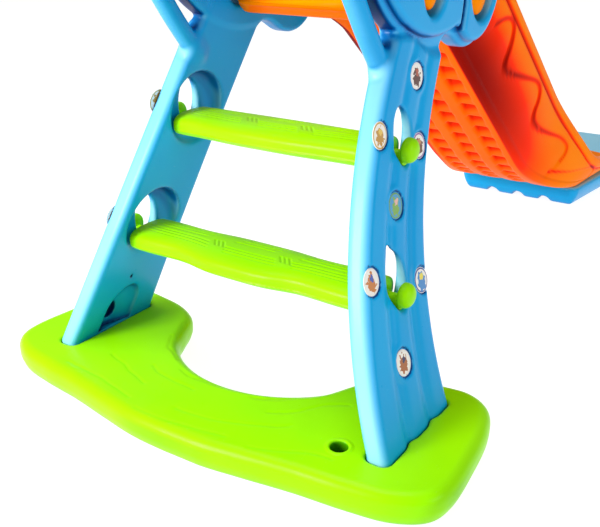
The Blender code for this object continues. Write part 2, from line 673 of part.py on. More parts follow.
def slide_bed(parent, material):
    """Build the deck, bed and run-out, with the lugs that fill the heads' windows."""
    rings = []
    for station in BED_STATIONS:
        half = bed_section(float(station))
        rings.append(half + [(x, -y, z) for x, y, z in reversed(half[1:-1])])
    bed = link_mesh("slide_bed", ring_loft(rings), parent, material)
    layers = ((LUG_START, 0), *((LUG_REACH - low, inset) for low, inset in LUG_CROWN))
    collar_layers = ((LUG_START + 1, GAP), (LUG_COLLAR_REACH, GAP))
    lugs = (("rear", REAR_LUG, REAR_WINDOW), ("front", FRONT_LUG, FRONT_WINDOW))
    for side, word in ((1, "left"), (-1, "right")):
        for place, shape, window in lugs:
            lug = ellipse_slab(f"{word}_{place}_lug", shape, side, layers, parent, LUG_SEGMENTS)
            name = f"{word}_{place}_collar"
            collar = ellipse_slab(name, window, side, collar_layers, parent, WINDOW_SEGMENTS)
            add_boolean(bed, lug, "UNION")
            add_boolean(bed, collar, "UNION")
    for number, place in enumerate(FOOT_SCREW_PLACES, 1):
        top = FOOT_SCREW_TOP + 1.5
        hole = vertical_cylinder(f"bed_pilot_{number}", place, SCREW_RADIUS + GAP, 30, top, parent)
        add_boolean(bed, hole, "DIFFERENCE")
    return bed


def landing_foot(parent, material):
    """Build the flat foot that the run-out stands on, with ribs along its underside."""
    corner = [math.radians(a) for a in FOOT_CORNER_ANGLES]
    rear_round, front_round = FOOT_REAR_CORNER, FOOT_FRONT_CORNER
    rear, wide = FOOT_REAR_HALF_WIDTH, FOOT_FRONT_HALF_WIDTH
    half = [(FOOT_REAR, 0.0), (FOOT_REAR, rear * 0.5)]
    half += [(FOOT_REAR + rear_round - rear_round * math.sin(a), rear - rear_round + rear_round * math.cos(a))
             for a in corner]
    half += [((FOOT_REAR + FOOT_FLARE_END) / 2, (rear + wide) / 2)]
    half += [(FOOT_FRONT - front_round + front_round * math.cos(a),
              wide - front_round + front_round * math.sin(a)) for a in corner]
    half += [(FOOT_FRONT, 0.0)]
    outline = half + [(x, -y) for x, y in reversed(half[1:-1])]
    centre_x = (FOOT_REAR + FOOT_FRONT) / 2
    half_length = (FOOT_FRONT - FOOT_REAR) / 2
    rings = []
    for level, inset in FOOT_RINGS:
        shrink_x = 1 - inset / half_length
        ring = []
        for x, y in outline:
            shrink_y = 1 - inset / rear
            ring.append((centre_x + (x - centre_x) * shrink_x, y * shrink_y, float(level)))
        rings.append(ring)
    foot = link_mesh("landing_foot", ring_loft(rings), parent, material)
    for number, middle in enumerate(FOOT_GROOVES, 1):
        half_y, half_z = FOOT_GROOVE_HALF
        turns = [2 * math.pi * i / FOOT_GROOVE_SIDES for i in range(FOOT_GROOVE_SIDES)]
        section = [(middle + half_y * math.cos(t), half_z * math.sin(t)) for t in turns]
        groove = ring_loft([[(x, y, z) for y, z in section]
                            for x in (FOOT_REAR - 40, FOOT_REAR + FOOT_GROOVE_LENGTH)])
        add_boolean(foot, link_mesh(f"foot_groove_{number}", groove, parent, cutter=True), "DIFFERENCE")
    for number, place in enumerate(FOOT_SCREW_PLACES, 1):
        rest = FOOT_SCREW_SEAT + GAP
        seat = vertical_cylinder(f"foot_seat_{number}", place, SCREW_HEAD_RADIUS + 2, -5, rest, parent)
        hole = vertical_cylinder(f"foot_hole_{number}", place, SCREW_RADIUS + GAP, -5, 70, parent)
        add_boolean(foot, seat, "DIFFERENCE")
        add_boolean(foot, hole, "DIFFERENCE")
    return foot


def screw(name, place, seat, top, parent, material):
    """Turn a pan-head screw that points up, with its head below the seat."""
    cx, cy = place
    head = seat - SCREW_HEAD_HEIGHT
    profile = [(head, SCREW_HEAD_RADIUS - 1.5), (head + 1.2, SCREW_HEAD_RADIUS), (seat, SCREW_HEAD_RADIUS),
               (seat, SCREW_RADIUS), (top - 3, SCREW_RADIUS), (top, 0.8)]
    turns = [2 * math.pi * i / SCREW_SIDES for i in range(SCREW_SIDES)]
    rings = [[(cx + r * math.cos(t), cy + r * math.sin(t), z) for t in turns] for z, r in profile]
    return link_mesh(name, ring_loft(rings), parent, material)


def build():
    """Build every piece of the slide."""
    clear_scene()
    carrier = bpy.data.objects.new("slide_carrier", None)
    bpy.context.scene.collection.objects.link(carrier)
    carrier.location = (-ORIGIN_X * MM, 0.0, 0.0)

    base_plate(carrier, plastic("base_green", GREEN))
    for side, word in ((-1, "right"), (1, "left")):
        side_panel(side, word, carrier, plastic(f"panel_blue_{word}", BLUE))
        for number, place in enumerate(LABEL_PLACES, 1):
            name = f"label_{word}_{number}"
            low = -LABEL_SEAT_DEPTH + GAP
            tilted_disc(name, place, side, LABEL_RADIUS, low, low + LABEL_THICKNESS, carrier,
                        plastic(name, LABEL_CREAM, 0.25))
        for number, place in enumerate(panel_screw_places(side), 1):
            name = f"panel_screw_{word}_{number}"
            screw(name, place, SCREW_SEAT, PANEL_SCREW_TOP, carrier, plastic(name, STEEL, 0.35, 1.0))
    step("step_lower", STEP_LOWER, *LOWER_BULGE, carrier, plastic("step_green_lower", GREEN))
    step("step_upper", STEP_UPPER, *UPPER_BULGE, carrier, plastic("step_green_upper", GREEN))
    slide_bed(carrier, plastic("slide_orange", ORANGE))
    landing_foot(carrier, plastic("foot_blue", BLUE))
    for number, place in enumerate(FOOT_SCREW_PLACES, 1):
        name = f"foot_screw_{number}"
        screw(name, place, FOOT_SCREW_SEAT, FOOT_SCREW_TOP, carrier, plastic(name, STEEL, 0.35, 1.0))


build()
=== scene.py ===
import math

import bmesh
import bpy
import numpy as np
from mathutils import Matrix, Vector


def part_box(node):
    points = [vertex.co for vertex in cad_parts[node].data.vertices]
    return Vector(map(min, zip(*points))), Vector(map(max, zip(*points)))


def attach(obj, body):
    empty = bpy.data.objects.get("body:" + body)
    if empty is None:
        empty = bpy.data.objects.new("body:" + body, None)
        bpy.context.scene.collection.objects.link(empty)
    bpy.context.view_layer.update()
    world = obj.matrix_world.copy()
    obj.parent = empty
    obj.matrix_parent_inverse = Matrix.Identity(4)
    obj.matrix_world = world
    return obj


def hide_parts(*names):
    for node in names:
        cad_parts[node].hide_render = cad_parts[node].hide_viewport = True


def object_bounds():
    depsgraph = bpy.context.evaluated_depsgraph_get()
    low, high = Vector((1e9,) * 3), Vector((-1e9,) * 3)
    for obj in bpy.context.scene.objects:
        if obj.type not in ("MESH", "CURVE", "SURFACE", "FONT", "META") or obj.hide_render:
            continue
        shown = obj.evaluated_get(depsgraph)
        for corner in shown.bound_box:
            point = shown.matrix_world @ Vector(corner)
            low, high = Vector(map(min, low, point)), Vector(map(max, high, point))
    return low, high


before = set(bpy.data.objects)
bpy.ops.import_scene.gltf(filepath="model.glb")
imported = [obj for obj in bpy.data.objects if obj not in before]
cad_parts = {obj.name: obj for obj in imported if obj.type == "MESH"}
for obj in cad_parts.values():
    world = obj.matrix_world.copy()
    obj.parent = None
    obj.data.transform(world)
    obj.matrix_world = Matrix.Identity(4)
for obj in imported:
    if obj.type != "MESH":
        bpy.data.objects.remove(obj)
cad_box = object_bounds()


# ---------------------------------------------------------------- camera, floor and light
# The slide stands on a white studio floor under a white world. Large soft boxes
# stand behind the ladder, overhead and to the right, and draw long highlights on the plastic.
scene = bpy.context.scene
scene.view_settings.view_transform = "Standard"

VIEW_YAW = 34.6525
VIEW_PITCH = 23.262
VIEW_ROLL = -0.5872
VIEW_POINT = (-1.6095, -0.7044, 0.6982)
LENS = 50.57
VIEW_DEPTH = 40
FLOOR_HALF = 9.0
FLOOR_DROP = 0.0005


def new_object(name, data):
    """Put a new object that holds this data into the scene."""
    thing = bpy.data.objects.new(name, data)
    scene.collection.objects.link(thing)
    return thing


def studio_camera():
    """Stand the camera behind and to the right of the ladder, level with the grab handles."""
    yaw, pitch, roll = (math.radians(a) for a in (VIEW_YAW, VIEW_PITCH, VIEW_ROLL))
    level_share = math.cos(pitch)
    ahead = Vector((math.cos(yaw) * level_share, math.sin(yaw) * level_share, -math.sin(pitch)))
    level = Vector((math.sin(yaw), -math.cos(yaw), 0.0))
    above = level.cross(ahead)
    right = level * math.cos(roll) + above * math.sin(roll)
    up = above * math.cos(roll) - level * math.sin(roll)
    data = bpy.data.cameras.new("studio_camera")
    data.lens = LENS
    data.clip_end = VIEW_DEPTH
    camera = new_object("studio_camera", data)
    turn = Matrix((right, up, -ahead)).transposed().to_4x4()
    camera.matrix_world = Matrix.Translation(VIEW_POINT) @ turn
    scene.camera = camera


def soft_box(name, place, aim, width, height, power):
    """Hang a rectangular soft box that faces a point."""
    data = bpy.data.lights.new(name, "AREA")
    data.shape = "RECTANGLE"
    data.size = width
    data.size_y = height
    data.energy = power
    lamp = new_object(name, data)
    lamp.location = place
    lamp.rotation_euler = (Vector(aim) - Vector(place)).to_track_quat("-Z", "Y").to_euler()


studio_camera()
soft_box("box_behind_ladder", (-2.7, 0.8, 1.05), (-0.7, -0.1, 0.35), 0.8, 1.0, 64)
soft_box("box_overhead", (-0.5, 0.4, 3.0), (-0.3, 0, 0.2), 2.2, 1.6, 50)
soft_box("box_right", (-0.6, -3.2, 1.2), (-0.4, 0, 0.4), 1.8, 1.2, 26)

world = bpy.data.worlds.new("studio_white")
world.use_nodes = True
sky = world.node_tree.nodes["Background"]
sky.inputs["Color"].default_value = (1, 1, 1, 1)
sky.inputs["Strength"].default_value = 0.30
scene.world = world


def studio_floor():
    """Lay a wide sheet of matt white card just under the feet."""
    bm = bmesh.new()
    bmesh.ops.create_grid(bm, x_segments=1, y_segments=1, size=FLOOR_HALF)
    mesh = bpy.data.meshes.new("studio_floor")
    bmesh.ops.translate(bm, vec=(0, 0, cad_box[0][2] - FLOOR_DROP), verts=bm.verts)
    bm.to_mesh(mesh)
    bm.free()
    floor = new_object("studio_floor", mesh)
    card = bpy.data.materials.new("white_card")
    card.use_nodes = True
    shader = card.node_tree.nodes["Principled BSDF"]
    for label, value in (("Base Color", (0.30, 0.30, 0.30, 1)), ("Roughness", 1.0),
                         ("Specular IOR Level", 0.0), ("Emission Color", (1, 1, 1, 1)),
                         ("Emission Strength", 0.92)):
        shader.inputs[label].default_value = value
    mesh.materials.append(card)


studio_floor()


# ---------------------------------------------------------------- side panels
# Each panel is one blow-moulded piece of sky-blue polyethylene with soft corners: a bowed,
# fluted rail that plugs into the base, a round head with two pads, and a grab handle.
# Sizes from here on are in millimetres, forward from the rear edge of the rails.
MM = 0.001
REAR_OVERHANG = 92.0
ORIGIN = (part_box("base_plate")[0].x, REAR_OVERHANG)
BASE_TOP = 51.0
RAIL_TOP = 544.0
RAIL_PLUG = 15.0
RAIL_EDGE = 12.0
RAIL_THICK = 34.0
RAIL_END = 610.0
RAIL_LEAN, RAIL_LEAN_BOW = 0.4538, 0.00047
RAIL_FOOT_DEPTH, RAIL_DEPTH_TAPER, RAIL_DEPTH_BOW = 181.9, 0.0514, 0.00012
RAIL_FOOT_INNER, RAIL_INNER_TAPER, RAIL_INNER_BOW = 267.3, 0.2447, 0.00035
NECK_THICK = 27.0
NECK_LINE, NECK_DROP = 536.0, 35.0
FLUTES = ((0.36, 4.2), (0.70, 4.2))
FLUTE_WIDTH = 0.06
HEAD_INNER = 146.4
WEB_OUTER = 176.0
PAD_OUTER = 190.0
HEAD_DISC = (328.0, 725.0, 209.0, 209.0)
HEAD_LOBE = (450.0, 625.0, 98.0, 132.0)
HEAD_WINDOWS = ((305.0, 611.0, 38.0, 58.0), (467.0, 592.0, 45.0, 62.0))
PAD_HALF = 20.0
PAD_SEAM, PAD_SEAM_SHIFT, PAD_SEAM_HALF = 397.0, 7.0, 4.5
HANDLE_ROUTE = (
    (212, 490), (190, 518), (162, 554), (130, 600), (95, 652), (68, 706), (57, 765),
    (68, 824), (104, 874), (158, 906), (216, 916), (262, 900),
)
HANDLE_FLATNESS, HANDLE_OUT, HANDLE_RADIUS = 0.9, 15.0, 13.5
STEPS = ((130.0, 213.0), (205.0, 386.0))
STEP_HOLE = (7.0, 23.0, 22.0, 39.0)
STEP_BOWL = (8.0, 17.0, 58.0, 58.0)
BOWL_FLOOR = 17.0
ARCH = (98.0, 84.0, 35.0, 38.0)
ARCH_LEAN, ARCH_DEPTH, ARCH_DISH = 0.22, 15.0, 9.0
DRAIN_HOLE, DRAIN_DEPTH, DRAIN_ROUND = (84.0, 80.0, 11.0, 16.0), 20.0, 6.0
PIN_HOLE, PIN_RADIUS, PIN_DEPTH = (106.0, 141.0), 2.2, 6.0
LABEL_PLACES = ((266, 480), (155, 423), (255, 388), (170, 328), (79, 256), (198, 217), (105, 139))
LABEL_SEAT = 3.5
LABEL_SEAT_RADIUS = 19.2
PANEL_GRAIN = 2.7
HOLLOW_REACHES = (9.0, 24.0)
PLASTIC_ROUGHNESS = 0.3
RELIEF_DEPTH = 0.0004
TALL = 0.9


def rise_between(low, high, value):
    """Go from 0 at low to 1 at high with level ends."""
    t = np.clip((value - low) / (high - low), 0.0, 1.0)
    return t * t * (3 - 2 * t)


def melt(a, b, radius):
    """Join two solids, given as distances, with a soft inside corner."""
    h = np.maximum(radius - np.abs(a - b), 0.0) / radius
    return np.minimum(a, b) - h * h * radius / 4


def carve(a, b, radius):
    """Take the second solid out of the first, with a soft lip."""
    return -melt(-a, b, radius)


def overlap(a, b, radius):
    """Keep what both solids share, with a soft edge."""
    return -melt(-a, -b, radius)


def slab(flat, across, half, rounding):
    """Thicken a flat outline into a plate with rounded edges."""
    a = flat + rounding
    b = np.abs(across) - half + rounding
    corner = np.hypot(np.maximum(a, 0.0), np.maximum(b, 0.0))
    return np.minimum(np.maximum(a, b), 0.0) + corner - rounding


def oval(x, z, shape, grow=0.0):
    """Distance to an oval outline given as centre and half sizes."""
    cx, cz, a, b = shape
    a, b = a + grow, b + grow
    near = np.hypot((x - cx) / a, (z - cz) / b) + 1e-6
    steep = np.hypot((x - cx) / a ** 2, (z - cz) / b ** 2) + 1e-6 / min(a, b)
    return near * (near - 1) / steep


def bend(p0, p1, p2, p3, t):
    """Point a share of the way from p1 to p2 on a smooth curve through all four."""
    return 0.5 * (2 * p1 + (p2 - p0) * t + (2 * p0 - 5 * p1 + 4 * p2 - p3) * t * t
                  + (3 * p1 - p0 - 3 * p2 + p3) * t ** 3)


def smooth_route(points, count):
    """Run a smooth open curve through the points."""
    points = [np.array(p, float) for p in points]
    ends = [2 * points[0] - points[1]] + points + [2 * points[-1] - points[-2]]
    route = [bend(*four, t) for four in zip(ends, ends[1:], ends[2:], ends[3:])
             for t in np.arange(count) / count]
    return np.array(route + [points[-1]])


def from_segment(x, z, a, b):
    """Distance to a straight segment in the plane."""
    run = b - a
    share = np.clip(((x - a[0]) * run[0] + (z - a[1]) * run[1]) / (run @ run), 0, 1)
    return np.hypot(x - a[0] - share * run[0], z - a[1] - share * run[1])


def from_route(x, z, route):
    """Distance to a polyline in the plane."""
    nearest = np.full(np.broadcast(x, z).shape, 1e9)
    for a, b in zip(route, route[1:]):
        nearest = np.minimum(nearest, from_segment(x, z, a, b))
    return nearest


def rail_rise(z):
    """Height above the base, held between the base and the rail's top."""
    return np.clip(z, BASE_TOP, RAIL_TOP) - BASE_TOP


def rail_bow(z):
    """Product that is zero at both ends of the rail, and drives its bow."""
    rise = rail_rise(z)
    return rise * (RAIL_TOP - BASE_TOP - rise)


def rail_rear(z):
    """Place of the rail's rear edge along X."""
    rise = rail_rise(z) + np.maximum(z - RAIL_TOP, 0)
    return RAIL_LEAN * rise - RAIL_LEAN_BOW * rail_bow(z)


def rail_depth(z):
    """Depth of the rail along X."""
    return RAIL_FOOT_DEPTH - RAIL_DEPTH_TAPER * rail_rise(z) - RAIL_DEPTH_BOW * rail_bow(z)


def rail_inner(z):
    """Distance of the rail's inner face from the middle plane."""
    return RAIL_FOOT_INNER - RAIL_INNER_TAPER * rail_rise(z) - RAIL_INNER_BOW * rail_bow(z)


def rail_field(x, y, z):
    """Distance to the fluted rail, which steps in at its neck under the head."""
    depth = rail_depth(z)
    along = x - rail_rear(z)
    share = along / depth
    flute = sum(deep * np.exp(-((share - place) / FLUTE_WIDTH) ** 2) for place, deep in FLUTES)
    clear = np.full(np.broadcast(x, z).shape, 1e9)
    for cx, cz in LABEL_PLACES:
        clear = np.minimum(clear, np.hypot(x - cx, z - cz))
    flute = flute * rise_between(20, 30, clear) * (1 - 0.5 * rise_between(300, 470, z))
    neck_line = NECK_LINE - NECK_DROP * rise_between(0.1, 0.9, share)
    full = RAIL_THICK - flute
    thick = full + (NECK_THICK - full) * rise_between(-7, 7, z - neck_line)
    side = np.abs(along - depth / 2) - depth / 2
    rail = slab(side, y - rail_inner(z) - thick / 2, thick / 2, RAIL_EDGE)
    return overlap(rail, np.maximum(RAIL_PLUG - z, z - RAIL_END), 2.0)


def beside(step, shape):
    """Move an oval that is given from a step's middle to its place."""
    return (step[0] + shape[0], step[1] + shape[1], *shape[2:])


HANDLE_LINE = smooth_route(HANDLE_ROUTE, 5)


def panel_field(x, y, z):
    """Distance to the whole panel, from rail to grab handle, with its openings taken out."""
    web_middle = (HEAD_INNER + WEB_OUTER) / 2
    flat = melt(oval(x, z, HEAD_DISC), oval(x, z, HEAD_LOBE), 26)
    web = slab(flat, y - web_middle, (WEB_OUTER - HEAD_INNER) / 2, 7)
    pads = melt(oval(x, z, HEAD_DISC, -9), oval(x, z, HEAD_LOBE, -9), 14)
    seam_line = PAD_SEAM + PAD_SEAM_SHIFT * rise_between(30, 80, z - 490)
    pads = np.maximum(pads, PAD_SEAM_HALF - np.abs(x - seam_line))
    pad = slab(pads, y - PAD_OUTER + PAD_HALF, PAD_HALF, 9)
    away = from_route(x, z, HANDLE_LINE) * HANDLE_FLATNESS
    bar = np.hypot(away, y - HEAD_INNER - HANDLE_OUT) - HANDLE_RADIUS
    body = melt(rail_field(x, y, z), web, 9)
    body = melt(melt(body, pad, 4), bar, 12)
    for window in HEAD_WINDOWS:
        body = carve(body, oval(x, z, window), 9)
    for step in STEPS:
        floor = rail_inner(step[1] + STEP_HOLE[1]) + BOWL_FLOOR
        bowl = overlap(oval(x, z, beside(step, STEP_BOWL)), y - floor, 16)
        body = carve(carve(body, bowl, 5), oval(x, z, beside(step, STEP_HOLE)), 6)
    into = y - rail_inner(z)
    lean = x - ARCH_LEAN * (z - 88)
    below_arch = np.maximum(np.abs(lean - ARCH[0]) - ARCH[2], z - ARCH[1])
    arch = melt(oval(lean, z, ARCH), below_arch, 1)
    cave = overlap(arch, into - ARCH_DEPTH + ARCH_DISH * rise_between(80, 130, lean), 8)
    body = carve(body, np.maximum(cave, BASE_TOP - z), 4)
    drain = np.hypot(oval(x, z, DRAIN_HOLE) + DRAIN_ROUND, np.maximum(into - DRAIN_DEPTH, 0))
    body = carve(body, drain - DRAIN_ROUND, 3)
    pin = np.hypot(x - PIN_HOLE[0], z - PIN_HOLE[1]) + np.maximum(into - PIN_DEPTH, 0)
    body = carve(body, pin - PIN_RADIUS, 1)
    for cx, cz in LABEL_PLACES:
        seat = np.hypot(x - cx, z - cz) - LABEL_SEAT_RADIUS
        body = carve(body, np.maximum(seat, RAIL_THICK - LABEL_SEAT - into), 1.5)
    return body


def place_panel(x, v, z):
    """Follow the rail's lean, so that the grid stays thin."""
    return x, rail_inner(z) + v, z


def store(piece, label, values, kind="FLOAT", part="value"):
    """Store a value with every point of a piece."""
    stored = piece.data.attributes.new(label, kind, "POINT")
    stored.data.foreach_set(part, np.asarray(values, np.float32).ravel())


def skinned(name, field, low, high, grain, place=lambda x, y, z: (x, y, z), mirror=False,
            painted_highlight=(0, 0, 0), hollow=1.0):
    """Skin the solid inside a distance field with small quads that lie on its surface.

    Each point stores painted shade as shade: darker where it faces down and where other
    surfaces close in around it. It also stores a painted highlight share, larger where it faces the given
    direction.
    """
    axes = [np.arange(a, b + grain, grain) for a, b in zip(low, high)]
    gx, gy, gz = np.meshgrid(*axes, indexing="ij", sparse=True)
    values = field(*place(gx, gy, gz))
    shape = np.array(values.shape)
    cells = tuple(shape - 1)
    total = np.zeros(cells + (3,))
    count = np.zeros(cells)
    crossings = []
    for axis in range(3):
        first = np.take(values, np.arange(shape[axis] - 1), axis)
        last = np.take(values, np.arange(1, shape[axis]), axis)
        edge = np.argwhere((first < 0) != (last < 0))
        a, b = first[tuple(edge.T)], last[tuple(edge.T)]
        spot = edge.astype(float)
        spot[:, axis] += a / (a - b)
        others = [k for k in range(3) if k != axis]
        inside = np.ones(len(edge), bool)
        for k in others:
            inside &= (edge[:, k] > 0) & (edge[:, k] < shape[k] - 1)
        edge, spot, a = edge[inside], spot[inside], a[inside]
        ring = []
        for d0, d1 in ((1, 1), (0, 1), (0, 0), (1, 0)):
            cell = edge.copy()
            cell[:, others[0]] -= d0
            cell[:, others[1]] -= d1
            np.add.at(total, tuple(cell.T), spot)
            np.add.at(count, tuple(cell.T), 1)
            ring.append(np.ravel_multi_index(tuple(cell.T), cells))
        quads = np.stack(ring, 1)
        flip = (a < 0) if axis != 1 else (a >= 0)
        quads[~flip] = quads[~flip][:, ::-1]
        crossings.append(quads)
    quads = np.concatenate(crossings)
    used, quads = np.unique(quads, return_inverse=True)
    quads = quads.reshape(-1, 4)
    centre = total.reshape(-1, 3)[used] / count.reshape(-1, 1)[used]
    points = centre * grain + np.array([axis[0] for axis in axes])
    for _ in range(3):
        here = field(*place(*points.T))
        slope = []
        for k in range(3):
            ahead = points.copy()
            ahead[:, k] += 0.2
            slope.append((field(*place(*ahead.T)) - here) / 0.2)
        slope = np.stack(slope, 1)
        move = slope * (here / np.maximum((slope ** 2).sum(1), 0.25))[:, None]
        points -= np.clip(move, -grain * 0.5, grain * 0.5) * 0.9
    normal = slope / np.maximum(np.linalg.norm(slope, axis=1), 1e-6)[:, None]
    # Painted shade: darker on downward faces and where nearby surfaces close in.
    shade = 0.6 * hollow * np.clip(-normal[:, 2] - 0.1, 0, 1)
    for reach in HOLLOW_REACHES:
        ahead = points + normal * reach
        shade = shade + 0.75 * hollow * np.clip(1 - field(*place(*ahead.T)) / reach - 0.12, 0, 1)
    # Painted highlight: paler on faces turned to the given direction, outside the painted shade.
    rub = np.clip(normal @ np.array(painted_highlight, float), 0, 1) ** 3 * np.clip(1 - 2 * shade, 0, 1)
    points = np.stack(np.broadcast_arrays(*place(*points.T)), 1)
    if mirror:
        points[:, 1] *= -1
        quads = quads[:, ::-1]
    piece = piece_from(name, points, quads)
    store(piece, "shade", np.clip(shade, 0, 1))
    store(piece, "rub", rub)
    return piece


def piece_from(name, points, faces, edges=()):
    """Turn millimetre points and faces into a smooth object in the slide's own frame."""
    points = np.asarray(points, float) * MM
    points[:, 0] += ORIGIN[0] + ORIGIN[1] * MM
    mesh = bpy.data.meshes.new(name)
    mesh.from_pydata(points.tolist(), edges, [list(map(int, face)) for face in faces])
    mesh.validate()
    mesh.shade_smooth()
    return new_object(name, mesh)


class Wire:
    """A socket of a node tree that adds Math nodes when it is used in an expression."""

    def __init__(self, graph, socket):
        self.graph = graph
        self.socket = socket

    def maths(self, operation, *values):
        node = self.graph.node("ShaderNodeMath", dict(enumerate(values)), operation=operation)
        return self.graph.wire(node)

    def at_least(self, other):
        return self.maths("MAXIMUM", self, other)

    def at_most(self, other):
        return self.maths("MINIMUM", self, other)

    def smooth(self, low, high):
        """Go from 0 at low to 1 at high."""
        node = self.graph.node("ShaderNodeMapRange", {"Value": self, "From Min": low, "From Max": high},
                               interpolation_type="SMOOTHSTEP")
        return self.graph.wire(node, "Result")


def sign_method(operation, swapped):
    """Make the method that stands for an arithmetic sign between a wire and a value."""
    def method(self, other):
        return self.maths(operation, *((other, self) if swapped else (self, other)))
    return method


for sign, operation in (("add", "ADD"), ("sub", "SUBTRACT"), ("mul", "MULTIPLY"),
                        ("truediv", "DIVIDE"), ("pow", "POWER")):
    setattr(Wire, f"__{sign}__", sign_method(operation, False))
    setattr(Wire, f"__r{sign}__", sign_method(operation, True))


class Graph:
    """A node tree with short ways to add nodes."""

    def __init__(self, tree):
        self.tree = tree

    def fill(self, node, inputs):
        """Set a node's inputs to values, or link them to wires, sockets and nodes."""
        for key, value in inputs.items():
            value = value.socket if isinstance(value, Wire) else value
            value = value.outputs[0] if isinstance(value, bpy.types.Node) else value
            if isinstance(value, bpy.types.NodeSocket):
                self.tree.links.new(value, node.inputs[key])
            else:
                node.inputs[key].default_value = value

    def node(self, kind, inputs=None, **settings):
        node = self.tree.nodes.new(kind)
        for key, value in settings.items():
            setattr(node, key, value)
        self.fill(node, inputs or {})
        return node

    def wire(self, node, output=0):
        return Wire(self, node.outputs[output])

    def noise(self, place, scale, detail):
        inputs = {"Vector": place, "Scale": scale, "Detail": detail}
        return self.wire(self.node("ShaderNodeTexNoise", inputs))

    def stretched(self, place, scale, turn=(0, 0, 0)):
        inputs = {"Vector": place, "Scale": scale, "Rotation": turn}
        return self.wire(self.node("ShaderNodeMapping", inputs))

    def stored(self, name):
        return self.wire(self.node("ShaderNodeAttribute", attribute_name=name), "Fac")

    def mix(self, share, below, above):
        """Blend two colours."""
        node = self.node("ShaderNodeMix", {0: share, 6: below, 7: above}, data_type="RGBA")
        return node.outputs[2]

    def ramp(self, share, stops, blend="LINEAR"):
        """Pick a colour from a row of places and colours."""
        node = self.node("ShaderNodeValToRGB", {0: share})
        node.color_ramp.interpolation = blend
        elements = node.color_ramp.elements
        while len(elements) < len(stops):
            elements.new(1.0)
        for element, (place, colour) in zip(elements, stops):
            element.position = place
            element.color = (*colour, 1)
        return node.outputs[0]


def new_finish(name):
    """Start a material, and return it with its graph and its Principled shader."""
    material = bpy.data.materials.new(name)
    material.use_nodes = True
    return material, Graph(material.node_tree), material.node_tree.nodes["Principled BSDF"]


def blown_plastic(name, face, deep, pale, shade_stops, painted_highlight, shine):
    """Blow-moulded polyethylene: clouded colour, faint die lines, orange peel and a fine grain.

    Painted light and shade: the colour shifts with height towards the pale colour, deepens
    through painted shade colours in hollows, and fades to a painted highlight colour on faces turned to a
    given direction.
    """
    material, graph, shader = new_finish(name)
    place = graph.wire(graph.node("ShaderNodeTexCoord"), "Object")
    height = graph.wire(graph.node("ShaderNodeSeparateXYZ", {0: place}), "Z")
    cloud = graph.noise(place, 7.0, 3.0)
    peel = graph.noise(place, 150.0, 2.0)
    grain = graph.noise(place, 1400.0, 2.0)
    lines = graph.noise(graph.stretched(place, (60.0, 60.0, 4.0)), 5.0, 2.0)
    scuff = graph.noise(graph.stretched(place, (30.0, 260.0, 120.0), (0.4, 0.2, 0.7)), 5.0, 3.0)
    scuff = scuff.smooth(0.69, 0.74)
    tint = graph.mix(cloud.smooth(0.3, 0.7), (*face, 1), (*deep, 1))
    # Painted light and shade: the colour shifts towards the pale colour with height, as light falls on the
    # upper parts.
    tint = graph.mix(height.smooth(0.0, TALL) * 0.55, tint, (*pale, 1))
    # Painted shade: deeper colours where the stored shade is high.
    shade_level = graph.stored("shade")
    shaded_colour = graph.ramp(shade_level, ((0.0, face), *shade_stops))
    tint = graph.mix((shade_level / shade_stops[0][0]).at_most(1), tint, shaded_colour)
    # Painted highlight: paler where the stored highlight share is high.
    rub = graph.stored("rub")
    tint = graph.mix(rub * 0.75 + rub * 0.3 * (cloud - 0.5), tint, (*painted_highlight, 1))
    rough = PLASTIC_ROUGHNESS + 0.09 * (peel - 0.5) + 0.12 * scuff + 0.05 * (lines - 0.5)
    relief = peel * 0.5 + grain * 0.25 + lines * 0.25
    bump = graph.node("ShaderNodeBump", {"Strength": 0.25, "Distance": RELIEF_DEPTH, "Height": relief})
    graph.fill(shader, {"Base Color": graph.mix(scuff * 0.05, tint, (1, 1, 1, 1)), "Roughness": rough,
                        "Normal": bump, "Coat Weight": shine * 0.3, "Coat Roughness": 0.12,
                        "Specular IOR Level": shine})
    return material


# The stops are painted shade colours; the last colour is the painted highlight.
blue = blown_plastic("sky_blue_polyethylene", (0.0, 0.40, 0.80), (0.0, 0.35, 0.76), (0.0, 0.34, 0.74),
                     ((0.5, (0.0, 0.17, 0.50)), (1.0, (0.0, 0.02, 0.14))), (0.42, 0.80, 0.92), shine=0.14)
for word, mirror in (("right", True), ("left", False)):
    # Rear-facing faces get a painted highlight, standing in for the soft box behind the ladder.
    panel = skinned(f"panel_moulding_{word}", panel_field, (-75, -14, 10), (565, 50, 940), PANEL_GRAIN,
                    place_panel, mirror, (-1, 0, 0))
    panel.data.materials.append(blue)
    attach(panel, "root")
    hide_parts(f"side_panel_{word}")


# ---------------------------------------------------------------- ladder base
# The base is a flat, hollow horseshoe of lime-green polyethylene, open towards the slide.
# Its pockets take the panels' feet, a round hole takes sand or water as ballast, and long
# strokes like ripples are pressed into its top.
BASE_OUTLINE = (
    (-92, 0), (-90, 62), (-80, 128), (-68, 200), (-60, 272), (-48, 332), (-20, 374), (22, 386),
    (90, 381), (155, 371), (203, 352), (226, 315), (223, 268), (212, 220), (188, 181),
    (145, 158), (105, 137), (74, 100), (53, 52), (46, 0),
)
BASE_GRAIN = 2.5
POCKET_GAP = 1.6
INNER_EDGE = np.array(BASE_OUTLINE[:14:-1] + ((175, 200),), float)
OUTER_EDGE = np.array(BASE_OUTLINE[:6], float)
BASE_TUCK, TUCK_HEIGHT = 10.0, 26.0
RAIL_FOOT_MIDDLE = 284.3
BASE_SEATS, BASE_SEAT_RADIUS, BASE_SEAT_DEPTH = (0.24, 0.72), 7.0, 6.4
POCKET_FLOOR = 13.0
FILLER = (4.0, -229.0, 12.0, 17.0)
BEAD_OUT, BEAD_SINK, BEAD_RADIUS = 3.2, 0.6, 1.8
RIPPLE_HOOK = 0.035
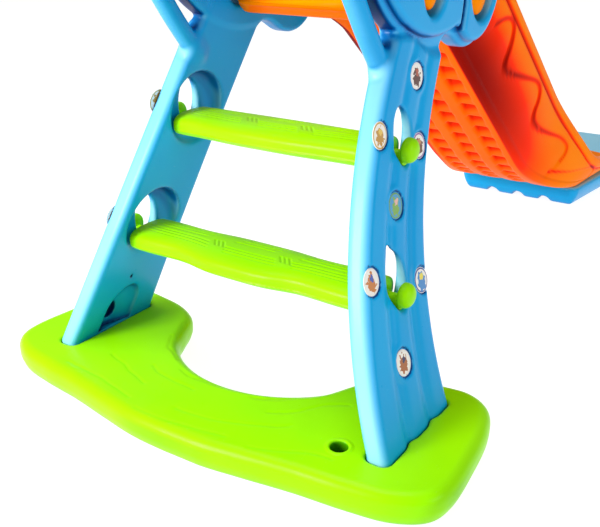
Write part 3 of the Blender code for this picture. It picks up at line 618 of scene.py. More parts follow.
GROOVE_SHADE = 0.22
RIPPLES = (
    (0.12, ((-150, -64), (-30, 74), (96, 160))),
    (0.34, ((-190, -104), (20, 118))),
    (0.62, ((-150, 10), (92, 196))),
    (0.86, ((-235, -130), (-92, 60), (84, 236))),
)


def loop_distance(x, y, loop):
    """Distance to a closed outline, negative inside it."""
    inside = np.zeros(np.broadcast(x, y).shape, bool)
    for a, b in zip(loop, np.roll(loop, -1, 0)):
        at = a[0] + (y - a[1]) * (b[0] - a[0]) / (b[1] - a[1] if b[1] != a[1] else 1e-9)
        inside ^= ((a[1] > y) != (b[1] > y)) & (x < at)
    nearest = from_route(x, y, np.vstack([loop, loop[:1]]))
    return np.where(inside, -nearest, nearest)


def charted(loop, grain):
    """Work out a closed outline's distance once on a lattice, and read it back between its points."""
    low = loop.min(0) - 12
    counts = np.ceil((loop.max(0) + 12 - low) / grain).astype(int) + 2
    xs, ys = (low[k] + grain * np.arange(counts[k]) for k in range(2))
    table = loop_distance(xs[:, None], ys[None, :], loop)

    def read(x, y):
        u = np.clip((x - low[0]) / grain, 0, counts[0] - 1.001)
        v = np.clip((y - low[1]) / grain, 0, counts[1] - 1.001)
        i, j = u.astype(int), v.astype(int)
        u, v = u - i, v - j
        near = table[i, j] * (1 - v) + table[i, j + 1] * v
        far = table[i + 1, j] * (1 - v) + table[i + 1, j + 1] * v
        return near * (1 - u) + far * u
    return read


def mirrored_loop(half):
    """Complete a half outline by its mirror image, and close it smoothly."""
    half = [np.array(p, float) for p in half]
    loop = half + [p * (1, -1) for p in half[-2:0:-1]]
    return smooth_route([loop[-1]] + loop + loop[:2], 8)[8:-16]


base_loop = mirrored_loop(BASE_OUTLINE)
base_flat = charted(base_loop, 2.0)


def base_field(x, y, z):
    """Distance to the base, with its pockets and filler hole taken out."""
    flat = base_flat(x, y)
    middle = BASE_TOP / 2
    tucked = flat + BASE_TUCK * np.clip(1 - z / TUCK_HEIGHT, 0, 1) ** 1.5
    upper, lower = slab(flat, z - middle, middle, 17), slab(tucked, z - middle, middle, 12)
    body = np.where(z > middle, upper, lower)
    pocket = rail_field(x, np.abs(y), np.float64(BASE_TOP)) - POCKET_GAP
    body = carve(body, np.maximum(pocket, POCKET_FLOOR - z), 5)
    fx, fy, radius, floor = FILLER
    for share in BASE_SEATS:
        seat = np.hypot(x - share * RAIL_FOOT_DEPTH, np.abs(y) - RAIL_FOOT_MIDDLE) - BASE_SEAT_RADIUS
        body = carve(body, np.maximum(seat, z - BASE_SEAT_DEPTH), 1)
    ring = np.hypot(x - fx, y - fy)
    body = melt(body, np.hypot(ring - radius - BEAD_OUT, z - BASE_TOP + BEAD_SINK) - BEAD_RADIUS, 3)
    return carve(body, np.maximum(ring - radius, floor - z), 2)


def across_base(y, share):
    """Point a share of the way from the horseshoe's inner edge to its rear edge."""
    inner, outer = (np.interp(abs(y), edge[:, 1], edge[:, 0]) for edge in (INNER_EDGE, OUTER_EDGE))
    return inner + share * (outer - inner)


def ripple_strokes():
    """Lay the pressed strokes along the horseshoe, each with tapering, slightly hooked ends."""
    strokes = []
    for share, spans in RIPPLES:
        for start, end in spans:
            ys = np.linspace(start, end, 24)
            hook = share + RIPPLE_HOOK * np.sin(np.linspace(-1.92, 1.92, 24))
            strokes.append(np.array([(across_base(y, h), y, BASE_TOP) for y, h in zip(ys, hook)]))
    return strokes


def new_tree(name, kinds):
    """Start a geometry tree, and return its graph, its inputs and their identifiers."""
    tree = bpy.data.node_groups.new(name, "GeometryNodeTree")
    sockets = {}
    for label, kind in kinds.items():
        socket = tree.interface.new_socket(label, in_out="INPUT", socket_type=f"NodeSocket{kind}")
        sockets[label] = socket.identifier
    tree.interface.new_socket("Result", in_out="OUTPUT", socket_type="NodeSocketGeometry")
    graph = Graph(tree)
    return graph, graph.node("NodeGroupInput").outputs, sockets


def end_tree(graph, geometry, finish):
    """Close a geometry tree: make its instances real and give them their material."""
    real = graph.node("GeometryNodeRealizeInstances", {0: geometry})
    done = graph.node("GeometryNodeSetMaterial", {"Geometry": real, "Material": finish})
    graph.node("NodeGroupOutput", {0: done})


def run_tree(piece, graph, sockets, values):
    """Run a geometry tree on a piece, and keep what it makes as the piece's plain mesh."""
    modifier = piece.modifiers.new(graph.tree.name, "NODES")
    modifier.node_group = graph.tree
    for label, value in values.items():
        modifier[sockets[label]] = value
    bpy.context.view_layer.update()
    shown = piece.evaluated_get(bpy.context.evaluated_depsgraph_get())
    mesh = bpy.data.meshes.new_from_object(shown)
    mesh.name = piece.name
    piece.modifiers.clear()
    piece.data = mesh


def press_strokes(piece, strokes, width, depth, material):
    """Press a groove of soft section into a surface along strokes, with painted shade in it."""
    edges = []
    start = 0
    for stroke in strokes:
        edges += [(start + i, start + i + 1) for i in range(len(stroke) - 1)]
        start += len(stroke)
    guide = piece_from(piece.name + "_strokes", np.vstack(strokes), [], edges)
    graph, given, sockets = new_tree("press_strokes", {"Surface": "Geometry", "Strokes": "Object",
                                                       "Width": "Float", "Depth": "Float",
                                                       "Finish": "Material"})
    lines = graph.node("GeometryNodeObjectInfo", {"Object": given["Strokes"]})
    near = graph.node("GeometryNodeProximity", {0: lines.outputs["Geometry"]}, target_element="EDGES")
    share = graph.wire(near, "Distance") / Wire(graph, given["Width"])
    pressed = 1 - share.smooth(0.0, 1.0)
    fall = pressed * Wire(graph, given["Depth"]) * -1
    push = graph.node("ShaderNodeVectorMath", {0: graph.node("GeometryNodeInputNormal"), "Scale": fall},
                      operation="SCALE")
    moved = graph.node("GeometryNodeSetPosition", {"Geometry": given["Surface"], "Offset": push})
    # Painted shade: the stored shade rises in the pressed grooves.
    before = graph.wire(graph.node("GeometryNodeInputNamedAttribute", {"Name": "shade"}, data_type="FLOAT"))
    shade_level = before.at_least(pressed * GROOVE_SHADE)
    groove_shaded = graph.node("GeometryNodeStoreNamedAttribute", {"Geometry": moved, "Name": "shade", "Value": shade_level},
                      data_type="FLOAT", domain="POINT")
    end_tree(graph, groove_shaded, given["Finish"])
    run_tree(piece, graph, sockets, {"Strokes": guide, "Width": width * MM, "Depth": depth * MM,
                                     "Finish": material})
    bpy.data.objects.remove(guide)


# The stops are painted shade colours for hollows, the underside and the pressed grooves.
green = blown_plastic("lime_green_polyethylene", (0.33, 0.84, 0.0), (0.29, 0.78, 0.0), (0.40, 0.84, 0.0),
                      ((0.5, (0.08, 0.40, 0.0)), (1.0, (0.0, 0.03, 0.0))), (0.60, 0.90, 0.10), shine=0.08)
base = skinned("ladder_base", base_field, (-97, -392, -4), (232, 392, 58), BASE_GRAIN)
press_strokes(base, ripple_strokes(), 4.2, 0.9, green)
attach(base, "root")
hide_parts("base_plate")


# ---------------------------------------------------------------- steps
# Each step is a fat blow-moulded board that swells in the middle, with a neck and a round
# knob at both ends. Long grooves with short slanting ones between them keep feet from
# slipping, and the mould's parting line shows as a fine ridge along the rear.
STEP_GRAIN = 1.5
STEP_HALF_THICK = 18.0
STEP_HALF_DEPTH = 42.0
BOARD_SQUARENESS, KNOB_SQUARENESS = 2.9, 2.5
SEAM_RIDGE, SEAM_DROP, SEAM_WIDTH = 0.7, 6.0, 1.3
KNOB_RADIUS, NECK_RADIUS, KNOB_LENGTH, KNOB_RISE = 17.5, 10.5, 17.0, 6.0
STEP_SHAPES = {"lower": (STEPS[0], 10.0, 82.0), "upper": (STEPS[1], 8.0, 105.0)}
TREAD_ROWS = (-24.0, -16.0, -8.0)
TREAD_FALL = 0.02


def step_swell(y, bulge, lobe):
    """Extra half depth of a step at a distance from its middle."""
    return bulge * np.exp(-(np.abs(y) / lobe) ** 4)


def step_field(place, bulge, lobe):
    """Make the distance field of one step."""
    cx, cz = place
    hole_x, hole_rise, _, hole_half = STEP_HOLE
    shoulder = rail_inner(cz + hole_rise) + 15
    face = rail_inner(cz) + RAIL_THICK
    neck_z = cz + hole_rise - hole_half + NECK_RADIUS + 0.4

    def squared(a, b, power):
        return (a ** power + b ** power + 1e-9) ** (1 / power) - 1

    def field(x, y, z):
        reach = np.abs(y)
        swell = step_swell(y, bulge, lobe)
        flare = 3 * np.exp(-((reach - 0.8 * shoulder) / 40) ** 2)
        across = np.abs(x - cx + 0.3 * swell) / (STEP_HALF_DEPTH + swell + flare)
        up = np.abs(z - cz) / STEP_HALF_THICK
        round_board = squared(across, up, BOARD_SQUARENESS) * STEP_HALF_THICK
        ridge = SEAM_RIDGE * np.exp(-((z - cz + SEAM_DROP) / SEAM_WIDTH) ** 2)
        seam = ridge * rise_between(shoulder, shoulder - 30, reach)
        board = slab(round_board - seam, reach, shoulder, 11)
        neck = np.hypot(x - cx - hole_x, z - neck_z) - NECK_RADIUS
        neck = overlap(neck, np.maximum(reach - face, shoulder - 12 - reach), 1)
        ball = np.hypot(x - cx - hole_x, z - cz - KNOB_RISE) / KNOB_RADIUS
        past = reach - face - 3
        out = np.where(past > 0, past / (KNOB_LENGTH - 3), -past / 6)
        knob = squared(ball, out, KNOB_SQUARENESS) * 14
        return melt(melt(board, neck, 4), knob, 3)
    return field, shoulder


def tread_strokes(place, bulge, lobe, shoulder):
    """Lay long grooves in three groups along the tread, and short slanting ones between them."""
    cx, cz = place
    top = cz + STEP_HALF_THICK
    strokes = []
    third = shoulder * 0.30
    for row, offset in enumerate(TREAD_ROWS):
        for low, high in ((22 - shoulder, -third - 14), (8 - third, third - 26), (third + 2, shoulder - 22)):
            rear = np.linspace(low + 5 * row, high + 5 * row - 6, 20)
            front = np.linspace(low + 8 * row + 10, high + 8 * row - 16, 20)
            rear_x = cx + offset + 4 - step_swell(rear, bulge, lobe) * 0.8
            front_x = cx - offset * 1.1 - 2 + step_swell(front, bulge, lobe) * 0.4
            for xs, ys in ((rear_x, rear), (front_x, front)):
                strokes.append(np.stack([xs, ys, top - abs(xs - cx) * TREAD_FALL], 1))
    for start in (-third - 12, third - 22):
        for shift in (0, 8, 16):
            t = np.linspace(0, 1, 5)
            strokes.append(np.stack([cx - 14 + 16 * t, start + shift + 12 * t, top + 0 * t], 1))
    return strokes


for word, (place, bulge, lobe) in STEP_SHAPES.items():
    field, shoulder = step_field(place, bulge, lobe)
    end = rail_inner(place[1]) + RAIL_THICK + KNOB_LENGTH + 4
    low = (place[0] - 60, -end, place[1] - 24)
    high = (place[0] + 60, end, place[1] + 28)
    board = skinned(f"step_board_{word}", field, low, high, STEP_GRAIN, hollow=0.0)
    press_strokes(board, tread_strokes(place, bulge, lobe, shoulder), 2.2, 1.3, green)
    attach(board, "root")
    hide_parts(f"step_{word}")


# ---------------------------------------------------------------- slide
# Deck, bed and run-out are one orange moulding, with a lip, a long groove and a sculpted wave
# on each outer side. Rows of wedge-shaped pinches in three channels underneath weld the
# hollow's two skins together. Oval lugs fill the heads' windows.
DECK_REAR = 280.0
DECK_BOTTOM = 541.0
DECK_THICK = 44.0
BED_SLOPE = 0.8035
SLOPE_START = 473.0
BED_THICK = 50.0
RUNOUT_RADIUS = 600.0
RUNOUT_BOTTOM = 50.0
RUNOUT_THICK = 15.0
BED_END = 1545.0
DECK_RIM, BED_RIM, BED_RIM_SLOPE, RUNOUT_RIM, RUNOUT_RIM_SLOPE = 672.0, 477.0, 0.775, 112.0, 0.13
NOSE_ROUND, TAIL_ROUND = 14.0, 4.0
BED_HALF, DECK_EXTRA, RUNOUT_EXTRA, END_EXTRA = 108.0, 35.0, 45.0, 12.0
RIM_HALF, RUNOUT_RIM_EXTRA, END_RIM_EXTRA = 144.5, 34.0, 6.0
RIM_WIDTH = 22.0
LIP_GROOVE = 29.0
CHANNELS = (-62.0, 0.0, 62.0)
PINCH_PITCH = 47.0
BED_STATIONS = 370
LUGS = {"rear": (305.0, 608.0, 27.0, 47.0), "front": (467.0, 589.0, 35.0, 51.0)}
LUG_OUTER, LUG_GRAIN = 187.0, 2.5
RING_STEPS = (14, 9, 4, 4, 5, 8, 16, 8, 4, 4, 4, 4, 4, 4, 4, 3, 4, 4)
WAVE = (
    (663, 500), (690, 506), (716, 503), (733, 489), (737, 468), (735, 446), (732, 426), (742, 408),
    (772, 396), (821, 383), (882, 366), (909, 346), (915, 321), (910, 298), (920, 275), (952, 254),
    (1005, 233), (1068, 210), (1105, 184), (1106, 164), (1094, 150),
)
LOWER_HOOK = ((1064, 130), (1146, 112), (1221, 104), (1262, 97), (1280, 84), (1276, 72))


def bed_underside(x):
    """Height of the underside: deck, straight slope, then an arc to the level run-out."""
    angle = math.atan(BED_SLOPE)
    arc_start_z = RUNOUT_BOTTOM + RUNOUT_RADIUS * (1 - math.cos(angle))
    arc_start = SLOPE_START + (DECK_BOTTOM - arc_start_z) / BED_SLOPE
    arc_end = arc_start + RUNOUT_RADIUS * math.sin(angle)
    line = DECK_BOTTOM - BED_SLOPE * (x - SLOPE_START)
    arc = RUNOUT_BOTTOM + RUNOUT_RADIUS - np.sqrt(np.maximum(RUNOUT_RADIUS ** 2 - (arc_end - x) ** 2, 0))
    sloping = np.where(x < arc_start, melt(DECK_BOTTOM + 0 * x, line, 12), arc)
    return np.where(x > arc_end, RUNOUT_BOTTOM, sloping)


def bed_floor(x):
    """Height of the sliding surface."""
    slope = DECK_BOTTOM - BED_SLOPE * (x - SLOPE_START) + BED_THICK
    thick = BED_THICK + (RUNOUT_THICK - BED_THICK) * rise_between(880, 1380, x)
    return np.where(x < 800, melt(DECK_BOTTOM + DECK_THICK + 0 * x, slope, 30), bed_underside(x) + thick)


def bed_rim(x):
    """Height of the side walls' rims."""
    slope = BED_RIM - BED_RIM_SLOPE * (x - 800.0)
    level = RUNOUT_RIM - RUNOUT_RIM_SLOPE * (x - 1296.0)
    rim = melt(DECK_RIM + 0 * x, -melt(-slope, -level, 40), 40)
    deck = DECK_BOTTOM + DECK_THICK + 1
    return deck + (rim - deck) * rise_between(DECK_REAR + 8, DECK_REAR + 60, x)


def bed_rings(x):
    """Outline of the slide at many stations, each from the underside's middle round the left wall."""
    under, floor, rim = bed_underside(x), bed_floor(x), bed_rim(x)
    nose = NOSE_ROUND * (1 - rise_between(0, 22, x - DECK_REAR)) + TAIL_ROUND * rise_between(1530, BED_END, x)
    under, floor, rim = under + nose, floor - nose * 0.7, rim - nose * 0.7
    bottom = (BED_HALF + DECK_EXTRA * (1 - rise_between(465, 545, x))
              + RUNOUT_EXTRA * rise_between(950, 1230, x) + END_EXTRA * rise_between(1230, BED_END, x) - nose)
    top = (RIM_HALF + RUNOUT_RIM_EXTRA * rise_between(990, 1310, x)
           + END_RIM_EXTRA * rise_between(1310, BED_END, x) - nose)
    floor_half = np.minimum(bottom - 6, top - RIM_WIDTH - 14)
    rise = rim - under
    lip = np.minimum(7.0, rise * 0.15)
    inside = top - RIM_WIDTH
    drop = rim - lip - floor
    zero = 0 * x
    half = [(zero, under), (bottom * 0.55, under), (bottom - 16, under),
            (bottom - 5, under + np.minimum(5, rise * 0.1)), (bottom, under + np.minimum(15, rise * 0.2))]
    half += [(bottom + (top - bottom) * b, under + rise * a)
             for a, b in ((0.22, 0.30), (0.5, 0.72), (0.8, 0.97))]
    half += [(top, rim - lip), (top - 5, rim - lip * 0.2), (top - 11, rim), (top - 17, rim - lip * 0.2),
             (inside, rim - lip)]
    half += [(inside - (inside - floor_half) * b, rim - lip - drop * a)
             for a, b in ((0.45, 0.12), (0.8, 0.35))]
    half += [(floor_half, floor + np.minimum(3, np.maximum(drop, 0) * 0.1)), (floor_half - 12, floor),
             (floor_half * 0.5, floor), (zero, floor)]
    return np.array([np.stack(p, -1) for p in half])


def signed_route(x, z, route):
    """Distance to a line, and whether a spot lies on its left (1) or right (-1) hand."""
    nearest = np.full(x.shape, 1e9)
    offside = np.zeros(x.shape)
    hand = np.ones(x.shape)
    for a, b in zip(route, route[1:]):
        run = b - a
        away = from_segment(x, z, a, b)
        across = (run[0] * (z - a[1]) - run[1] * (x - a[0])) / np.hypot(*run)
        turn = np.sign(across)
        level = np.abs(away - nearest) < 0.01
        closer = np.where(level, np.abs(across) > offside, away < nearest)
        offside = np.where(closer, np.abs(across), offside)
        nearest = np.where(closer, away, nearest)
        hand = np.where(closer, turn, hand)
    return nearest, hand


def slide_surface():
    """Work out the slide's skin: rings of points along X, with every pressed detail, and a painted shade for
    each point.
    """
    ends = 1 - np.cos(np.linspace(0, math.pi / 2, 9)[:-1])
    start = DECK_REAR + 22 * ends
    finish = BED_END - 22 * ends[::-1]
    middle = np.linspace(start[-1], finish[0], BED_STATIONS - 14)[1:-1]
    x = np.concatenate([start, middle, finish])
    half = bed_rings(x)
    mirror = half[-2:0:-1] * (-1, 1)
    ring = np.concatenate([half, mirror])
    counts = RING_STEPS + RING_STEPS[::-1]
    parts = []
    for i, count in enumerate(counts):
        p0, p1, p2, p3 = (ring[(i + k) % len(ring)] for k in (-1, 0, 1, 2))
        parts += [bend(p0, p1, p2, p3, t) for t in np.arange(count) / count]
    skin = np.stack(parts, 1)
    size = skin.shape[1]
    y, z = skin[..., 0], skin[..., 1]
    x = np.repeat(x[:, None], size, 1)
    where = np.concatenate([np.full(c, i) for i, c in enumerate(counts)])
    outside = np.isin(where, (4, 5, 6, 7, 8, 27, 28, 29, 30, 31))
    walls = outside | np.isin(where, (2, 3, 32, 33))
    below = np.isin(where, (0, 1, 34, 35))
    side = np.sign(y)

    line = bed_rim(x) - LIP_GROOVE - z
    fade = rise_between(430, 520, x)
    groove = (4.4 * np.exp(-(line / 3.6) ** 2) + 1.8 * rise_between(-3, 5, line)) * fade
    # Painted shade along the lip groove line.
    crease_shade = 0.6 * np.exp(-(line / 4.5) ** 2) * fade
    for points, reach, tall in ((WAVE, 34.0, 4.4), (LOWER_HOOK, 20.0, 2.6)):
        away, hand = signed_route(x, z, smooth_route(points, 4))
        step_in = tall * np.exp(-away / reach) * (hand < 0) * rise_between(0, 5, away)
        groove = groove + step_in + 0.9 * np.exp(-(away / 4) ** 2)
        # Painted shade along the wave lines.
        crease_shade = crease_shade + 0.4 * np.exp(-(away / 4.5) ** 2)
    moved_y = y - side * np.where(outside, groove, 0.0)

    run = np.hypot(1, BED_SLOPE) * (x - SLOPE_START)
    phase = np.mod(run, PINCH_PITCH) / PINCH_PITCH
    extent = rise_between(500, 560, x) * (1 - rise_between(1080, 1170, x))
    cut = 0 * y
    for channel in CHANNELS:
        off = np.abs(y - channel)
        trough = 1 - rise_between(13, 19, off)
        slant = (channel - y) / 38 + 0.5
        wedge = np.clip(1.0 - 1.15 * phase - 0.45 * slant, 0, 1) * rise_between(0.0, 0.06, phase)
        cut = cut + trough * (4.0 + 13.0 * wedge)
    cut = np.where(below, cut * extent, 0)
    lean = np.arctan(np.where(x > SLOPE_START, BED_SLOPE, 0.0))
    moved_x = x + cut * np.sin(lean)
    moved_z = z + cut * np.cos(lean)
    moved_x = moved_x - 38 * rise_between(1440, BED_END, x) * (y / 160) ** 2
    # Painted shade underneath: redder, deepest in the channels and wedges, fading towards the run-out.
    slide_shade = 0.42 + 0.30 * rise_between(3, 12, cut) - 0.25 * rise_between(1050, 1300, x)
    slide_shade = np.where(below, slide_shade, 0.0)
    # Painted shade on the outer walls: darker below the rim and under the heads towards the rear.
    shade_under_rim = rise_between(5, 175, bed_rim(x) - z) * (1 - rise_between(640, 1240, x))
    wall = 0.25 * (1 - rise_between(1000, 1250, x)) + 0.75 * shade_under_rim + crease_shade
    slide_shade = np.where(walls, wall, slide_shade)
    return np.stack([moved_x, moved_y, moved_z], -1), np.minimum(slide_shade, 1)


def slide_faces(rows, size):
    """Join neighbouring rings with quads, and close both ends."""
    spots = np.arange(rows * size).reshape(rows, size)
    ahead = np.roll(spots, -1, 1)
    quads = np.stack([spots[:-1], ahead[:-1], ahead[1:], spots[1:]], -1).reshape(-1, 4)
    return [*quads, spots[0, ::-1], spots[-1]]


def lug_field(shape):
    """Make the field of a crowned oval lug that fills a window of the head."""
    def field(x, y, z):
        crown = np.maximum(1 - (oval(x, z, shape) / -shape[2]), 0)
        top = LUG_OUTER - 7 * np.clip(crown, 0, 1.2) ** 2.2
        return overlap(oval(x, z, shape), np.maximum(y - top, RIM_HALF - 12 - y), 3)
    return field


# The stops are painted shade colours, deep red to near-black red.
orange = blown_plastic("orange_polyethylene", (1.0, 0.24, 0.0), (0.98, 0.19, 0.0), (1.0, 0.36, 0.0),
                       ((0.6, (0.98, 0.025, 0.0)), (1.0, (0.27, 0.003, 0.0))), (1.0, 0.40, 0.05), shine=0.01)
skin, shade = slide_surface()
rows, size = skin.shape[:2]
slide = piece_from("slide", skin.reshape(-1, 3), slide_faces(rows, size))
store(slide, "shade", shade)
slide.data.materials.append(orange)
lugs = []
for word, (cx, cz, a, b) in LUGS.items():
    for side, mirror in (("left", False), ("right", True)):
        low, high = (cx - a - 4, RIM_HALF - 16, cz - b - 4), (cx + a + 4, LUG_OUTER + 4, cz + b + 4)
        lug = skinned(f"slide_lug_{word}_{side}", lug_field(LUGS[word]), low, high, LUG_GRAIN, mirror=mirror)
        lug.data.materials.append(orange)
        lugs.append(lug)
with bpy.context.temp_override(active_object=slide, selected_editable_objects=[slide] + lugs):
    bpy.ops.object.join()
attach(slide, "root")
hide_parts("slide_bed")


# ---------------------------------------------------------------- landing foot
# A wide blue foot carries the run-out. Its sides lean out towards the top, and half-round
# grooves divide its rear edge into four ribs.
FOOT_REAR = 1217.0
FOOT_FRONT = 1775.0
FOOT_TOP = 49.6
FOOT_RIB_GROOVES = (-68.0, 0.0, 68.0)
FOOT_GRAIN = 2.9
FOOT_HALF_REAR, FOOT_HALF = 152.0, 206.0
FOOT_LEAN, FOOT_LEAN_HEIGHT = 18.0, 42.0
RIB_RADIUS, RIB_END = 15.0, 20.0
FOOT_SEATS, FOOT_SEAT_HALF, FOOT_SEAT_RADIUS, FOOT_SEAT_DEPTH = (1300, 1430), 34.0, 8.0, 28.4


def foot_loop():
    """Outline of the foot at its widest, with rounded corners."""
    turns = np.radians(np.linspace(90, 0, 9))
    rear, wide, small, large = FOOT_HALF_REAR, FOOT_HALF, 22.0, 85.0
    half = [(FOOT_REAR, 0.0)]
    half += [(FOOT_REAR + small - small * math.sin(a), rear - small + small * math.cos(a)) for a in turns]
    half += [(FOOT_FRONT - large + large * math.cos(a), wide - large + large * math.sin(a)) for a in turns]
    half += [(FOOT_FRONT, 0.0)]
    return np.array(half + [(x, -y) for x, y in half[-2:0:-1]])


foot_flat = charted(foot_loop(), 3.0)


def foot_field(x, y, z):
    """Distance to the landing foot."""
    lean = FOOT_LEAN * np.clip(1 - z / FOOT_LEAN_HEIGHT, 0, 1) ** 1.8
    body = slab(foot_flat(x, y) + lean, z - FOOT_TOP / 2, FOOT_TOP / 2, 8)
    for groove in FOOT_RIB_GROOVES:
        notch = oval(y, z, (groove, -1, RIB_RADIUS, RIB_RADIUS))
        body = carve(body, notch + RIB_END * rise_between(100, 160, x - FOOT_REAR), 6)
    for row in FOOT_SEATS:
        seat = np.hypot(x - row, np.abs(y) - FOOT_SEAT_HALF) - FOOT_SEAT_RADIUS
        body = carve(body, np.maximum(seat, z - FOOT_SEAT_DEPTH), 1)
    return body


# Upward faces get a painted reflection, paler the more squarely they face up.
foot = skinned("landing_foot_shell", foot_field, (FOOT_REAR - 4, -210, -4), (FOOT_FRONT + 5, 211, 54),
               FOOT_GRAIN, painted_highlight=(0, 0, 1))
foot.data.materials.append(blue)
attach(foot, "root")
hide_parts("landing_foot")


# ---------------------------------------------------------------- picture labels
# Seven round printed labels lie in shallow seats down the outer side of each panel. They are
# thin vinyl discs under a clear coat, each with a coloured rim and a plain blot for a picture.
LABEL_RADIUS = 18.0
LABEL_THICK = 0.9
LABEL_SINK = 3.0
LABEL_CROWN, LABEL_EDGE_ROUND = 0.00028, 0.00025
CREAM = (0.90, 0.86, 0.80)
LABEL_GROUNDS = (CREAM, CREAM, CREAM, (0.05, 0.32, 0.62), CREAM, CREAM, CREAM)
LABEL_RIMS = (CREAM, (0.62, 0.36, 0.05), (0.30, 0.08, 0.42), (0.16, 0.40, 0.08), CREAM,
              (0.02, 0.04, 0.30), CREAM)
LABEL_BLOTS = ((0.10, 0.03, 0.02), (0.55, 0.28, 0.04), (0.16, 0.06, 0.03), (0.20, 0.42, 0.06),
               (0.60, 0.20, 0.03), (0.05, 0.25, 0.60), (0.42, 0.12, 0.02))
LABEL_SPOTS = ((0.45, 0.10, 0.05), (0.80, 0.55, 0.10), (0.55, 0.25, 0.10), (0.80, 0.45, 0.40),
               (0.04, 0.10, 0.45), (0.85, 0.70, 0.08), (0.03, 0.03, 0.10))


def label_print():
    """Vinyl print: a rim, a lobed blot and a spot in colours that change from label to label."""
    material, graph, shader = new_finish("printed_label")
    spot = graph.node("ShaderNodeAttribute", attribute_name="label_spot").outputs["Vector"]
    pick = graph.stored("picture")
    parts = graph.node("ShaderNodeSeparateXYZ", {0: spot})
    across, up = graph.wire(parts, "X"), graph.wire(parts, "Y")

    def inks(colours):
        stops = [(i / len(colours), colour) for i, colour in enumerate(colours)]
        return graph.ramp(pick, stops, "CONSTANT")

    radius = (across * across + up * up) ** 0.5
    wobble = graph.node("ShaderNodeCombineXYZ", {0: across * 2.2, 1: up * 2.2, 2: pick * 9})
    lobes = graph.noise(wobble, 1.6, 1.0)
    blot_radius = (across * across * 1.6 + (up + 0.08) * (up + 0.08)) ** 0.5
    blot = (0.66 + 1.3 * (lobes - 0.5) - blot_radius).smooth(-0.02, 0.02)
    spot_radius = ((across - 0.12) * (across - 0.12) + (up - 0.22) * (up - 0.22)) ** 0.5
    mark = (0.24 + 0.6 * (lobes - 0.5) - spot_radius).smooth(-0.02, 0.02)
    rim = radius.smooth(0.83, 0.86) * (1 - radius.smooth(0.94, 0.96))
    colour = graph.mix(rim, inks(LABEL_GROUNDS), inks(LABEL_RIMS))
    colour = graph.mix(mark, graph.mix(blot, colour, inks(LABEL_BLOTS)), inks(LABEL_SPOTS))
    screen = graph.noise(spot, 60.0, 2.0)
    graph.fill(shader, {"Base Color": graph.mix(screen * 0.08, colour, (1, 1, 1, 1)),
                        "Roughness": 0.3 + 0.12 * (screen - 0.5), "Coat Weight": 0.1,
                        "Coat Roughness": 0.08, "Specular IOR Level": 0.15})
    return material


def label_discs(side):
    """Put a crowned disc at each seat, square to the panel's outer face."""
    graph, given, sockets = new_tree("label_discs", {"Seats": "Geometry", "Radius": "Float",
                                                     "Thickness": "Float", "Finish": "Material"})
    radius = Wire(graph, given["Radius"])
    disc = graph.node("GeometryNodeMeshCylinder",
                      {"Vertices": 56, "Side Segments": 1, "Fill Segments": 7, "Radius": radius,
                       "Depth": given["Thickness"]})
    where = graph.node("GeometryNodeInputPosition")
    parts = graph.node("ShaderNodeSeparateXYZ", {0: where})
    px, py, pz = (graph.wire(parts, k) for k in range(3))
    out = (px * px + py * py) ** 0.5 / radius
    crown = LABEL_CROWN * (1 - out * out) - LABEL_EDGE_ROUND * out.smooth(0.9, 1.0)
    lift = graph.node("ShaderNodeCombineXYZ", {2: crown * pz.smooth(0.0, 0.0001)})
    shaped = graph.node("GeometryNodeSetPosition", {"Geometry": disc, "Offset": lift})
    flat = graph.node("ShaderNodeVectorMath", {0: where, "Scale": 1 / radius}, operation="SCALE")
    marked = graph.node("GeometryNodeStoreNamedAttribute",
                        {"Geometry": shaped, "Name": "label_spot", "Value": flat},
                        data_type="FLOAT_VECTOR", domain="POINT")
    facing = graph.node("GeometryNodeInputNamedAttribute", {"Name": "facing"}, data_type="FLOAT_VECTOR")
    turn = graph.node("FunctionNodeAlignRotationToVector", {"Vector": facing}, axis="Z")
    spread = graph.node("GeometryNodeInstanceOnPoints",
                        {"Points": given["Seats"], "Instance": marked, "Rotation": turn})
    end_tree(graph, spread, given["Finish"])

    word = "left" if side > 0 else "right"
    points, normals = [], []
    for cx, cz in LABEL_PLACES:
        tilt = (rail_inner(cz - 1) - rail_inner(cz + 1)) / 2
        normal = np.array((0, side, tilt)) / math.hypot(1, tilt)
        face = np.array((cx, side * (rail_inner(cz) + RAIL_THICK), cz))
        points.append(face - normal * (LABEL_SINK - LABEL_THICK / 2))
        normals.append(normal)
    discs = piece_from(f"labels_{word}", points, [])
    store(discs, "facing", normals, "FLOAT_VECTOR", "vector")
    store(discs, "picture", (np.arange(len(points)) + 0.5) / len(points))
    run_tree(discs, graph, sockets, {"Radius": LABEL_RADIUS * MM, "Thickness": LABEL_THICK * MM,
                                     "Finish": label_ink})
    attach(discs, "root")
    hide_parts(*(f"label_{word}_{n}" for n in range(1, len(LABEL_PLACES) + 1)))


label_ink = label_print()
label_discs(1)
label_discs(-1)


# ---------------------------------------------------------------- screws
# Zinc-plated pan-head screws with a cross recess hold the panels in the base and the foot
# under the run-out. They go in from below, so they only show when the slide is tipped over.
SCREW_RADIUS = 2.4
SCREW_HEAD_RADIUS = 6.0
SCREW_HEAD_HEIGHT = 4.0
SCREW_PITCH = 1.8
SCREW_POINT = 6.0
SCREW_STATIONS = 110
SCREW_SIZES = ("Length", "Pitch", "Shank", "Head")
RECESS_BARS = ((0.0052, 0.0011, 0.004), (0.0011, 0.0052, 0.004))


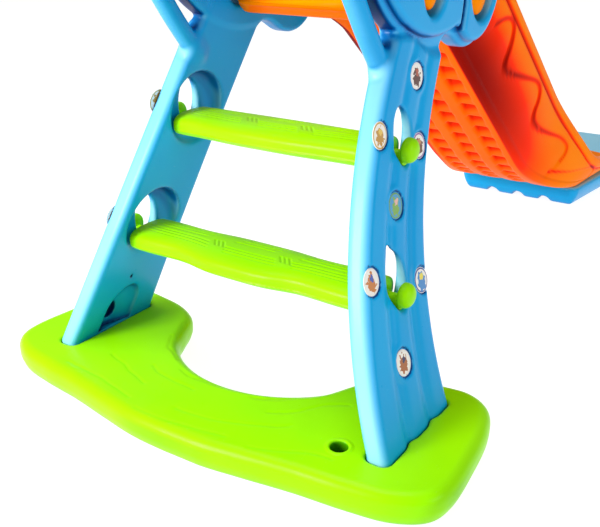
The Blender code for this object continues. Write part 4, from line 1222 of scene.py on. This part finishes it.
def plated_steel():
    """Zinc plate: pale grey metal with a fine mottled bloom."""
    material, graph, shader = new_finish("zinc_plate")
    bloom = graph.noise(graph.wire(graph.node("ShaderNodeTexCoord"), "Object"), 900.0, 3.0)
    colour = graph.mix(bloom, (0.42, 0.43, 0.46, 1), (0.60, 0.60, 0.58, 1))
    graph.fill(shader, {"Base Color": colour, "Roughness": 0.28 + 0.2 * bloom, "Metallic": 1.0})
    return material


def turned_screws(name, nodes, finish):
    """Turn a threaded screw on a line, cut its recess, and set a copy where each node stands."""
    low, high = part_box(nodes[0])
    kinds = {"Places": "Geometry", "Finish": "Material"}
    graph, given, sockets = new_tree("turned_screws", {**kinds, **dict.fromkeys(SCREW_SIZES, "Float")})
    length, pitch, shank, head = (Wire(graph, given[k]) for k in SCREW_SIZES)
    tip = graph.node("ShaderNodeCombineXYZ", {2: length})
    line = graph.node("GeometryNodeCurvePrimitiveLine", {"End": tip})
    fine = graph.node("GeometryNodeResampleCurve", {"Curve": line, "Count": SCREW_STATIONS})
    where = graph.node("GeometryNodeInputPosition")
    up = graph.wire(graph.node("ShaderNodeSeparateXYZ", {0: where}), "Z")
    head_height = SCREW_HEAD_HEIGHT * MM
    turns = up / pitch * math.tau
    thread = turns.maths("SINE", turns)
    taper = 1 - 0.85 * ((up - (length - SCREW_POINT * MM)) / (SCREW_POINT * MM)).at_least(0)
    body = (shank * 0.88 + shank * 0.12 * thread) * taper
    dome = head * (1 - 0.30 * (1 - up / (head_height * 0.6)).at_least(0) ** 2)
    in_head = up.maths("LESS_THAN", up, head_height)
    radius = in_head * dome + (1 - in_head) * body
    sized = graph.node("GeometryNodeSetCurveRadius", {"Curve": fine, "Radius": radius})
    ring = graph.node("GeometryNodeCurvePrimitiveCircle", {"Resolution": 20, "Radius": 1.0})
    turned = graph.node("GeometryNodeCurveToMesh",
                        {"Curve": sized, "Profile Curve": ring, "Fill Caps": True, "Scale": radius})
    recess = graph.node("GeometryNodeMeshBoolean", {0: turned}, operation="DIFFERENCE")
    for size in RECESS_BARS:
        bar = graph.node("GeometryNodeMeshCube", {"Size": size})
        graph.tree.links.new(bar.outputs[0], recess.inputs[1])
    spread = graph.node("GeometryNodeInstanceOnPoints", {"Points": given["Places"], "Instance": recess})
    end_tree(graph, spread, given["Finish"])

    mesh = bpy.data.meshes.new(name)
    centres = [(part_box(node)[0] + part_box(node)[1]) / 2 for node in nodes]
    mesh.from_pydata([(c.x, c.y, low.z) for c in centres], [], [])
    screws = new_object(name, mesh)
    run_tree(screws, graph, sockets, {"Length": high.z - low.z, "Pitch": SCREW_PITCH * MM,
                                      "Shank": SCREW_RADIUS * MM, "Head": SCREW_HEAD_RADIUS * MM,
                                      "Finish": finish})
    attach(screws, "root")
    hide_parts(*nodes)


zinc = plated_steel()
turned_screws("panel_screws", [f"panel_screw_{word}_{n}" for word in ("right", "left") for n in (1, 2)], zinc)
turned_screws("foot_screws", [f"foot_screw_{n}" for n in (1, 2, 3, 4)], zinc)
